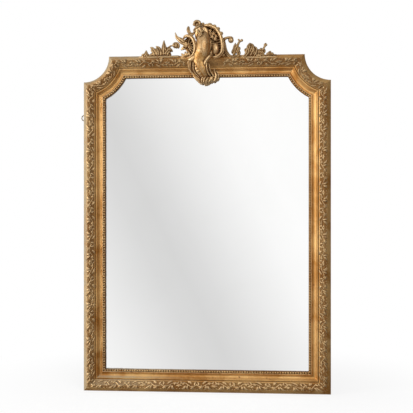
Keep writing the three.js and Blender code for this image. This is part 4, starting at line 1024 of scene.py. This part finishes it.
def aged_gilding_group():
    """Aged gilding: leaf whose tone drifts in patches, rubbed to bole and gesso on proud edges, darkened by old
    size, dirt and painted shade in hollows, and paled by dust and painted window light. The masks are noise
    added to the
    Hollow and shade value, and for the dust to the Upward and lit value."""
    known = bpy.data.node_groups.get("Aged gilding")
    if known:
        return known
    inputs = [("Place", VECTOR, None), ("Hollow", FLOAT, 0.0), ("Upward", FLOAT, 0.0)]
    inputs += [(name, COLOUR, (0.5, 0.4, 0.3, 1)) for name in GILT_COLOURS]
    inputs += [("Rubbing", FLOAT, 0.5), ("Soiling", FLOAT, 0.5)]
    outputs = [("Colour", COLOUR), ("Metal", FLOAT), ("Roughness", FLOAT), ("Height", FLOAT)]
    group, given, out = new_group("Aged gilding", inputs, outputs)
    sockets = given.outputs[: len(inputs)]
    place, hollow, upward_and_lit, bright, deep, rubbed, bole, dirt, dust, rubbing, soiling_and_shade = sockets
    patches = noise_node(group, place, 9, 4, 0.6, 0.6)
    speckle = noise_node(group, place, 160, 4, 0.7)
    grain = noise_node(group, place, 620, 3, 0.6)
    tone = step_node(group, plus(group, times(group, patches, 0.7), times(group, speckle, 0.3)), 0.36, 0.62)
    leaf = mix_colour(group, tone, deep, bright)
    proud = minus(group, times(group, speckle, 1.6), hollow)
    rub = step_node(group, plus(group, proud, minus(group, rubbing, 1.0)), 0.55, 1.1)
    colour = mix_colour(group, times(group, rub, 0.75), leaf, rubbed)
    flakes = noise_node(group, place, 70, 5, 0.75, 0.4)
    chips = step_node(group, plus(group, flakes, times(group, rubbing, 0.12)), 0.66, 0.72)
    colour = mix_colour(group, times(group, chips, 0.8), colour, bole)
    # dirt and painted shade: hollows and shaded places darken towards the Dirt and shade colour
    depth = plus(group, hollow, times(group, minus(group, speckle, 0.5), 1.2))
    dirt_and_shade_mask = step_node(group, plus(group, depth, minus(group, soiling_and_shade, 1.0)), -0.55, 0.55)
    colour = mix_colour(group, times(group, dirt_and_shade_mask, 0.92), colour, dirt)
    # dust and painted window light: upper faces and faces turned to the window grow paler and duller
    drift = step_node(group, noise_node(group, place, 45, 4, 0.65), 0.25, 0.6, 0.45, 0.95)
    dust_and_lit_mask = times(group, step_node(group, upward_and_lit, 0.35, 0.85), drift)
    colour = mix_colour(group, dust_and_lit_mask, colour, dust)
    dull = math_node(group, "MAXIMUM", math_node(group, "MAXIMUM", dirt_and_shade_mask, dust_and_lit_mask), chips)
    metal = minus(group, 1.0, times(group, dull, 0.85))
    rough = plus(group, times(group, dull, 0.35), times(group, grain, 0.18))
    height = plus(group, times(group, grain, 0.3), times(group, chips, -0.8))
    height = plus(group, height, times(group, speckle, 0.5))
    for name, socket in (("Colour", colour), ("Metal", metal), ("Roughness", rough), ("Height", height)):
        group.links.new(socket, out.inputs[name])
    return group


# soiling sets both dirt and painted shade in hollows; tone scales the leaf colours, and the reliefs' lower
# tones are painted shade, the Shaded relief's deepest
GILT_LOOKS = {  # name: (metal, base roughness, rubbing, soiling, tone)
    "Gilded moulding": (0.78, 0.36, 0.45, 0.32, 1.02),
    "Gilded relief": (0.74, 0.40, 0.58, 0.86, 0.80),
    "Sooty relief": (0.74, 0.40, 0.54, 0.90, 0.60),
    "Gilded beads": (0.74, 0.40, 0.45, 0.80, 0.90),
    "Gilded crest": (0.76, 0.36, 0.46, 0.70, 0.78),
    "Sooty crest": (0.76, 0.38, 0.42, 0.82, 0.58),
}


def gilding(context, name):
    """The gilded surface of a piece, from the shared group and the finish's own amounts."""
    known = bpy.data.materials.get(name)
    if known:
        return known
    colours = context.scene.mirror_colours
    metal, rough, rubbing, soiling_and_shade, tone = GILT_LOOKS[name]
    made, tree, shader = new_material(name)
    group = tree.nodes.new("ShaderNodeGroup")
    group.node_tree = aged_gilding_group()
    where = tree.nodes.new("ShaderNodeTexCoord")
    hollow = tree.nodes.new("ShaderNodeAttribute")
    hollow.attribute_name = "hollow"
    face = split(tree, tree.nodes.new("ShaderNodeNewGeometry").outputs["Normal"])
    outside = tree.nodes.new("ShaderNodeAttribute")
    outside.attribute_name = "outside"
    # painted light: the outer slope's faces turned to the left window, and upper faces, take the pale dust
    # colour, most near the window at the left
    near_window = step_node(tree, split(tree, where.outputs["Object"])["X"], -0.45, 0.25, 1.0, 0.25)
    facing_window = times(tree, times(tree, face["X"], -1.1), outside.outputs["Fac"])
    dust_and_lit_mask = times(tree, math_node(tree, "MAXIMUM", face["Z"], facing_window), near_window)
    tree.links.new(where.outputs["Object"], group.inputs["Place"])
    tree.links.new(hollow.outputs["Fac"], group.inputs["Hollow"])
    tree.links.new(dust_and_lit_mask, group.inputs["Upward"])
    for label in GILT_COLOURS:
        value = getattr(colours, label.lower().replace(" ", "_"))
        shade = tone if label in ("Leaf", "Deep leaf", "Rubbed") else 1.0
        group.inputs[label].default_value = (*(shade * part for part in value), 1)
    group.inputs["Rubbing"].default_value = rubbing
    group.inputs["Soiling"].default_value = soiling_and_shade
    tree.links.new(group.outputs["Colour"], shader.inputs["Base Color"])
    tree.links.new(times(tree, group.outputs["Metal"], metal), shader.inputs["Metallic"])
    tree.links.new(plus(tree, group.outputs["Roughness"], rough), shader.inputs["Roughness"])
    shader.inputs["Specular IOR Level"].default_value = 0.16
    raise_surface(tree, shader, group.outputs["Height"], 0.35, 0.0006)
    return made


def sight_distance(tree, place):
    """Distance in metres from the frame's inner edge: the least of the four sides and the two arcs."""
    inner = SEAT[1] + 0.6
    x, _, z = split(tree, place)
    side = math_node(tree, "ABSOLUTE", x)
    from_side = minus(tree, (HALF_WIDTH - inner) * 0.001, side)
    from_top = minus(tree, (FRAME_HEIGHT - inner) * 0.001, z)
    from_foot = minus(tree, z, inner * 0.001)
    beside = math_node(tree, "POWER", minus(tree, HALF_WIDTH * 0.001, side), 2.0)
    below = math_node(tree, "POWER", minus(tree, FRAME_HEIGHT * 0.001, z), 2.0)
    from_arc = minus(tree, math_node(tree, "SQRT", plus(tree, beside, below)), (NOTCH_RADIUS + inner) * 0.001)
    straight = math_node(tree, "MINIMUM", from_side, math_node(tree, "MINIMUM", from_top, from_foot))
    return math_node(tree, "MINIMUM", straight, from_arc), x


def silvered_glass():
    """Old silvered glass: a metal mirror, faintly clouded, whose silver is tarnished brown along its edge; on
    the left the brown band widens as a painted reflection of the frame's dark inner wall."""
    made, tree, shader = new_material("Silvered glass")
    where = tree.nodes.new("ShaderNodeTexCoord").outputs["Object"]
    haze = step_node(tree, noise_node(tree, where, 3.0, 5, 0.6, 0.5), 0.4, 0.75)
    tint = mix_colour(tree, haze, (0.985, 0.985, 0.982, 1), (0.97, 0.972, 0.966, 1))
    distance, x = sight_distance(tree, where)
    ragged = times(tree, noise_node(tree, where, 55, 4, 0.65), 0.005)
    # painted reflection: the brown band reaches further in on the left, standing for the frame's inner wall
    # seen in the glass
    reach = plus(tree, ragged, step_node(tree, x, -0.43, -0.1, 0.0, -0.006))
    tarnish_and_reflection = step_node(tree, minus(tree, distance, reach), -0.002, 0.003, 0.8, 0.0)
    tree.links.new(mix_colour(tree, tarnish_and_reflection, tint, (0.30, 0.22, 0.14, 1)), shader.inputs["Base Color"])
    shader.inputs["Metallic"].default_value = 1.0
    tree.links.new(plus(tree, times(tree, tarnish_and_reflection, 0.3), 0.012), shader.inputs["Roughness"])
    return made


PINE_TONES = (1.0, 0.84, 1.1, 0.92, 1.16, 0.78)  # one for each cut


def pine(context, along="X", cut=0, middle=None):
    """Old pine: long wavering growth lines on Object coordinates, dark late wood and a grey-brown skin. Each
    cut takes its lines from another place and has its own tone. A backboard, whose middle's height is given,
    is dirty along its two joints."""
    name = f"{'Upright' if along == 'Z' else 'Level' if middle is None else 'Board'} pine {cut + 1}"
    known = bpy.data.materials.get(name)
    if known:
        return known
    colours = context.scene.mirror_colours
    made, tree, shader = new_material(name)
    where = tree.nodes.new("ShaderNodeTexCoord")
    turn = tree.nodes.new("ShaderNodeMapping")
    turn.inputs["Scale"].default_value = (0.06, 1, 1) if along == "X" else (1, 1, 0.06)
    turn.inputs["Location"].default_value = (3.7 * cut, 1.9 * cut, 5.3 * cut)
    tone = PINE_TONES[cut]
    tree.links.new(where.outputs["Object"], turn.inputs[0])
    lines = noise_node(tree, turn.outputs[0], 95, 5, 0.62, 1.2)
    fibre = noise_node(tree, turn.outputs[0], 520, 3, 0.6)
    stain = noise_node(tree, where.outputs["Object"], 6, 4, 0.6)
    late = times(tree, step_node(tree, lines, 0.44, 0.64), 0.75)
    early_wood = (*(tone * part for part in colours.pine), 1)
    colour = mix_colour(tree, late, early_wood, (*(tone * part for part in colours.late_wood), 1))
    aged = times(tree, step_node(tree, stain, 0.45, 0.8), 0.55)
    colour = mix_colour(tree, aged, colour, (*(0.5 * part for part in colours.late_wood), 1))
    if middle is not None:
        away = math_node(tree, "ABSOLUTE", minus(tree, split(tree, where.outputs["Object"])["Z"], middle))
        seam = times(tree, step_node(tree, away, 0.1035, 0.1075), 0.8)
        colour = mix_colour(tree, seam, colour, (0.018, 0.012, 0.008, 1))
    tree.links.new(colour, shader.inputs["Base Color"])
    shader.inputs["Roughness"].default_value = 0.78
    raise_surface(tree, shader, plus(tree, lines, times(tree, fibre, 0.5)), 0.4, 0.0008)
    return made


def iron(context, name="Old iron"):
    """Old iron: dark with brown rust in patches, or rusted all over."""
    known = bpy.data.materials.get(name)
    if known:
        return known
    colours = context.scene.mirror_colours
    made, tree, shader = new_material(name)
    where = tree.nodes.new("ShaderNodeTexCoord")
    low, high = (0.42, 0.62) if name == "Old iron" else (0.1, 0.2)
    rust = step_node(tree, noise_node(tree, where.outputs["Object"], 130, 5, 0.7, 0.3), low, high)
    tree.links.new(mix_colour(tree, rust, (*colours.iron, 1), (*colours.rust, 1)), shader.inputs["Base Color"])
    tree.links.new(minus(tree, 0.9, times(tree, rust, 0.7)), shader.inputs["Metallic"])
    tree.links.new(plus(tree, 0.42, times(tree, rust, 0.4)), shader.inputs["Roughness"])
    raise_surface(tree, shader, rust, 0.5, 0.0004)
    return made


def dress(node, material, bevel=None):
    """Gives a CAD node a material, and softens its edges by a bevel over its merged triangles."""
    thing = frame["nodes"][node]
    thing.data.materials.clear()
    thing.data.materials.append(material)
    if bevel:
        weld = thing.modifiers.new("Merge", "WELD")
        weld.merge_threshold = 0.00002
        edge = thing.modifiers.new("Soft edges", "BEVEL")
        edge.width, edge.segments, edge.limit_method = bevel * 0.001, 2, "ANGLE"
        edge.angle_limit = math.radians(35)


class MIRROR_OT_glass(bpy.types.Operator):
    """Silvers the mirror plate"""

    bl_idname = "mirror.glass"
    bl_label = "Glass"

    def execute(self, context):
        dress("mirror_plate", silvered_glass())
        return {"FINISHED"}


class MIRROR_OT_back(bpy.types.Operator):
    """Finishes the pine carcass, backboards, glazing blocks and batten"""

    bl_idname = "mirror.back"
    bl_label = "Back"

    def execute(self, context):
        wooden = ("carcass", "backboard", "glazing_block", "crest_batten")
        for i, name in enumerate(sorted(name for name in frame["nodes"] if name.startswith(wooden))):
            along = "Z" if "stile" in name or name == "crest_batten" else "X"
            if not name.startswith("backboard"):
                dress(name, pine(context, along, i % len(PINE_TONES)), WOOD_EDGE)
                continue
            bottom = min(corner[2] for corner in bpy.data.objects[name].bound_box)
            middle = bottom + (BACKBOARD_PITCH - BACKBOARD_GAP) / 2 * 0.001
            dress(name, pine(context, along, i % len(PINE_TONES), middle), BOARD_EDGE)
        return {"FINISHED"}


class MIRROR_OT_hangers(bpy.types.Operator):
    """Forms the hanging rings and finishes their plates"""

    bl_idname = "mirror.hangers"
    bl_label = "Hangers"

    def execute(self, context):
        for side, x in (("left", -EYE_X - RING_LINE), ("right", EYE_X - RING_LINE)):
            dress(f"hanger_plate_{side}", iron(context), IRON_EDGE)
            angles = (np.arange(56) * 2 * np.pi / 56, np.arange(14) * 2 * np.pi / 14)
            along, wire = np.meshgrid(*angles, indexing="ij")
            reach, y = RING_LINE + RING_WIRE * np.cos(wire), EYE_Y + RING_WIRE * np.sin(wire)
            grid = np.stack([x + reach * np.cos(along), y, HANGER_HEIGHT + reach * np.sin(along)], -1)
            made = write_mesh(f"iron_ring_{side}", [shell(grid, tube_quads(*wire.shape, True))])
            finish_piece(made, iron(context), f"ring_{side}", [f"hanging_ring_{side}"])
        return {"FINISHED"}


def domed_heads(places, radius, height):
    """Nail or screw heads that face backwards: low domes of revolution at points [x, y, z]."""
    reach = radius * np.array([0.9, 1.0, 0.93, 0.72, 0.38, 0.03])[:, None]
    rise = height * np.array([-0.8, 0.0, 0.45, 0.8, 0.98, 1.0])[:, None]
    angle = np.arange(12)[None, :] * 2 * np.pi / 12
    ring = np.stack([reach * np.cos(angle), rise + 0 * angle, reach * np.sin(angle)], -1)
    return [shell(ring + np.asarray(place, float), tube_quads(*ring.shape[:2])) for place in places]


class MIRROR_OT_fasteners(bpy.types.Operator):
    """Drives the backboards' nails and the screws of the hangers and the crest's batten"""

    bl_idname = "mirror.fasteners"
    bl_label = "Fasteners"

    def execute(self, context):
        shares = [i + share for i in range(BACKBOARDS) for share in NAIL_SHARES]
        heights = [BACKBOARD_EDGE + BACKBOARD_PITCH * share for share in shares]
        nails = [(hand * (HALF_WIDTH - NAIL_LINE), NAIL_DEPTH, z)
                 for z in heights if z < FRAME_HEIGHT - CORNER_REACH for hand in (-1, 1)]
        nails += [(x, NAIL_DEPTH, FRAME_HEIGHT - NAIL_LINE) for x in TOP_NAILS]
        made = write_mesh("nails_backboards", domed_heads(nails, *NAIL_HEAD))
        finish_piece(made, iron(context, "Rusted nails"))
        screws = [(hand * (EYE_X - x), 2.8, HANGER_HEIGHT + z) for hand in (-1, 1) for x, z in PLATE_HOLES]
        screws += [(x, -2.0, FRAME_HEIGHT + z) for x, z in BATTEN_SCREWS]
        made = write_mesh("screws_hangers_batten", domed_heads(screws, *SCREW_HEAD))
        finish_piece(made, iron(context))
        return {"FINISHED"}


# ---------------------------------------------------------------- stage


class MIRROR_OT_stage(bpy.types.Operator):
    """Sets the floor, the studio light, the surroundings and the camera"""

    bl_idname = "mirror.stage"
    bl_label = "Stage"

    def execute(self, context):
        sizes, scene = context.scene.mirror_sizes, context.scene
        scene.view_settings.view_transform = "Standard"
        scene.collection.objects.link(studio_camera())
        studio_floor()
        studio_lamp(scene, "Window light", (-3.2, -1.9, 1.35), (0, 0, 0.8), 1.7, sizes.window_light)
        studio_lamp(scene, "Fill light", (1.5, -3.7, 2.7), (0, 0, 0.7), 2.0, sizes.fill_light)
        surroundings(scene, sizes.room_light)
        return {"FINISHED"}


def studio_camera():
    """The camera at the photograph's viewpoint: a little to the right, level with the frame's middle."""
    made = bpy.data.objects.new("Camera", bpy.data.cameras.new("Camera"))
    made.location = (0.300, -3.535, 0.795)
    made.rotation_euler = (math.radians(90), 0, math.radians(4.17))
    made.data.lens, made.data.sensor_width = 71.63, 36
    made.data.shift_x = -0.0242
    bpy.context.scene.camera = made
    return made


def studio_floor():
    """A wide pale floor at z = 0. It keeps the object's shadow near it, is plain white to the camera further
    off, and mirrors see through it."""
    mesh = bpy.data.meshes.new("Floor")
    mesh.from_pydata([(-9, -9, 0), (9, -9, 0), (9, 9, 0), (-9, 9, 0)], [], [(0, 1, 2, 3)])
    made = bpy.data.objects.new("Floor", mesh)
    bpy.context.scene.collection.objects.link(made)
    material, tree, shader = new_material("Pale floor")
    shader.inputs["Base Color"].default_value = (0.93, 0.93, 0.93, 1)
    shader.inputs["Roughness"].default_value = 0.9
    shader.inputs["Specular IOR Level"].default_value = 0.0
    path = tree.nodes.new("ShaderNodeLightPath")
    white = tree.nodes.new("ShaderNodeEmission")
    white.inputs[0].default_value = (1, 1, 1, 1)
    clear = tree.nodes.new("ShaderNodeBsdfTransparent")
    where = tree.nodes.new("ShaderNodeTexCoord")
    reach = tree.nodes.new("ShaderNodeVectorMath")
    reach.operation = "LENGTH"
    tree.links.new(where.outputs["Object"], reach.inputs[0])
    far = step_node(tree, reach.outputs["Value"], 0.4, 1.3, 0.8, 1.0)
    paler = times(tree, far, path.outputs["Is Camera Ray"])
    paler = mix_shader(tree, paler, shader.outputs[0], white.outputs[0])
    out = next(node for node in tree.nodes if node.type == "OUTPUT_MATERIAL")
    tree.links.new(mix_shader(tree, path.outputs["Is Glossy Ray"], paler, clear.outputs[0]), out.inputs[0])
    mesh.materials.append(material)
    return made


def studio_lamp(scene, name, place, target, size, strength):
    """A square soft light aimed at a point."""
    lamp = bpy.data.lights.new(name, "AREA")
    lamp.energy, lamp.size = strength, size
    made = bpy.data.objects.new(name, lamp)
    made.location = place
    made.rotation_euler = (Vector(target) - Vector(place)).to_track_quat("-Z", "Y").to_euler()
    scene.collection.objects.link(made)


# the reflection's dim band: positions across it, and how bright the screen is there
DIM_BAND = [(0.17, 0.86), (0.29, 0.78), (0.40, 0.71), (0.5, 0.685), (0.58, 0.725), (0.72, 0.84), (0.88, 0.96)]


def surroundings(scene, strength):
    """White to the camera and the room's soft light to surfaces. Reflections see a white screen ahead of the
    mirror, dimmer along one slanting band, and round it a room that is dark on the right and below."""
    world = bpy.data.worlds.new("Studio")
    scene.world = world
    world.use_nodes = True
    tree = world.node_tree
    tree.nodes.clear()
    out = tree.nodes.new("ShaderNodeOutputWorld")
    path = tree.nodes.new("ShaderNodeLightPath")
    plain = tree.nodes.new("ShaderNodeBackground")
    plain.inputs[0].default_value = (1, 1, 1, 1)
    plain.inputs[1].default_value = strength
    seen = tree.nodes.new("ShaderNodeBackground")
    mirrored = tree.nodes.new("ShaderNodeBackground")
    where = tree.nodes.new("ShaderNodeTexCoord")
    x, y, z = split(tree, where.outputs["Generated"])
    ahead = math_node(tree, "MAXIMUM", math_node(tree, "ABSOLUTE", y), 0.05)
    across = math_node(tree, "DIVIDE", x, ahead)
    up = math_node(tree, "DIVIDE", z, ahead)
    # distance from the dimmest line, in lengths at which the reflection is white again
    slant = plus(tree, times(tree, across, 5.86), times(tree, up, 2.93))
    slant = plus(tree, times(tree, plus(tree, slant, 0.9), 0.5), 0.5, True)
    fade = tree.nodes.new("ShaderNodeValToRGB")
    fade.color_ramp.elements[0].position, fade.color_ramp.elements[0].color = 0.0, (0.96, 0.96, 0.96, 1)
    fade.color_ramp.elements[1].position, fade.color_ramp.elements[1].color = 1.0, (1, 1, 1, 1)
    for position, level in DIM_BAND:
        fade.color_ramp.elements.new(position).color = (level, level, level, 1)
    tree.links.new(slant, fade.inputs[0])
    side = step_node(tree, x, -0.6, 0.6, 1.0, 0.14)
    height = step_node(tree, z, -0.8, 0.1, 0.35, 1.0)
    room = mix_colour(tree, times(tree, side, height), (0.05, 0.045, 0.04, 1), (0.95, 0.95, 0.95, 1))
    beside = math_node(tree, "ABSOLUTE", plus(tree, across, 0.085))
    beyond = math_node(tree, "MAXIMUM", beside, math_node(tree, "ABSOLUTE", up))
    reflected = mix_colour(tree, step_node(tree, beyond, 0.22, 0.5), fade.outputs[0], room)
    tree.links.new(reflected, mirrored.inputs[0])
    seen.inputs[0].default_value = (1, 1, 1, 1)
    lit = mix_shader(tree, path.outputs["Is Glossy Ray"], plain.outputs[0], mirrored.outputs[0])
    direct = plus(tree, path.outputs["Is Camera Ray"], path.outputs["Is Transmission Ray"], True)
    tree.links.new(mix_shader(tree, direct, lit, seen.outputs[0]), out.inputs[0])


# ---------------------------------------------------------------- settings, panel and order


def number(name, words, value, unit="NONE"):
    """A setting in metres, watts or plain numbers."""
    return bpy.props.FloatProperty(name=name, description=words, default=value, unit=unit)


def tint(name, words, value):
    """A colour setting."""
    return bpy.props.FloatVectorProperty(
        name=name, description=words, default=value, size=3, min=0, max=1, subtype="COLOR"
    )


class MirrorSizes(bpy.types.PropertyGroup):
    bead_pitch: number("Bead pitch", "Distance between beads", 0.0108, "LENGTH")
    motif_length: number("Motif length", "Length of one repeat of the relief", 0.078, "LENGTH")
    relief_height: number("Relief height", "Height of the tallest flower", 0.0062, "LENGTH")
    unevenness: number("Unevenness", "How far the moulding wavers", 0.00035, "LENGTH")
    window_light: number("Window light", "Power of the light at the left", 92, "POWER")
    fill_light: number("Fill light", "Power of the light above the front", 84, "POWER")
    room_light: number("Room light", "Strength of the even light all round", 0.42)


class MirrorColours(bpy.types.PropertyGroup):
    leaf: tint("Leaf", "Bright gold leaf", (0.64, 0.39, 0.15))
    deep_leaf: tint("Deep leaf", "Leaf toned down by age", (0.37, 0.16, 0.034))
    rubbed: tint("Rubbed leaf", "Leaf rubbed thin on edges", (0.74, 0.52, 0.28))
    bole: tint("Bole", "Red-brown clay under the leaf", (0.17, 0.06, 0.02))
    # this colour also paints shade: hollows, the rebate's inner wall and the beads' backs darken towards it
    dirt: tint("Dirt", "Dirt and old size in hollows", (0.07, 0.026, 0.006))
    # this colour also paints light: faces turned to the window near the left grow pale with it
    dust: tint("Dust", "Grey dust on upper faces", (0.36, 0.285, 0.18))
    pine: tint("Pine", "Early wood of the back", (0.36, 0.22, 0.11))
    late_wood: tint("Late wood", "Dark growth lines of the back", (0.19, 0.10, 0.045))
    iron: tint("Iron", "Hangers and rings", (0.36, 0.32, 0.25))
    rust: tint("Rust", "Rust on the iron", (0.12, 0.055, 0.03))


OPERATORS = (MIRROR_OT_stage, MIRROR_OT_moulding, MIRROR_OT_relief, MIRROR_OT_beads, MIRROR_OT_glass,
             MIRROR_OT_back, MIRROR_OT_hangers, MIRROR_OT_fasteners, MIRROR_OT_crest)


class MIRROR_PT_panel(bpy.types.Panel):
    """Lists the mirror's pieces and their settings"""

    bl_label = "Trumeau Mirror"
    bl_space_type = "VIEW_3D"
    bl_region_type = "UI"
    bl_category = "Mirror"

    def draw(self, context):
        for settings in (context.scene.mirror_sizes, context.scene.mirror_colours):
            for name in settings.__annotations__:
                self.layout.prop(settings, name)
        for operator in OPERATORS:
            self.layout.operator(operator.bl_idname)


CLASSES = (MirrorSizes, MirrorColours, *OPERATORS, MIRROR_PT_panel)


def register():
    for made in CLASSES:
        bpy.utils.register_class(made)
    bpy.types.Scene.mirror_sizes = bpy.props.PointerProperty(type=MirrorSizes)
    bpy.types.Scene.mirror_colours = bpy.props.PointerProperty(type=MirrorColours)


def unregister():
    del bpy.types.Scene.mirror_sizes, bpy.types.Scene.mirror_colours
    for made in reversed(CLASSES):
        bpy.utils.unregister_class(made)


def main():
    register()
    for operator in OPERATORS:
        group, name = operator.bl_idname.split(".")
        getattr(getattr(bpy.ops, group), name)()


if __name__ == "__main__":
    main()
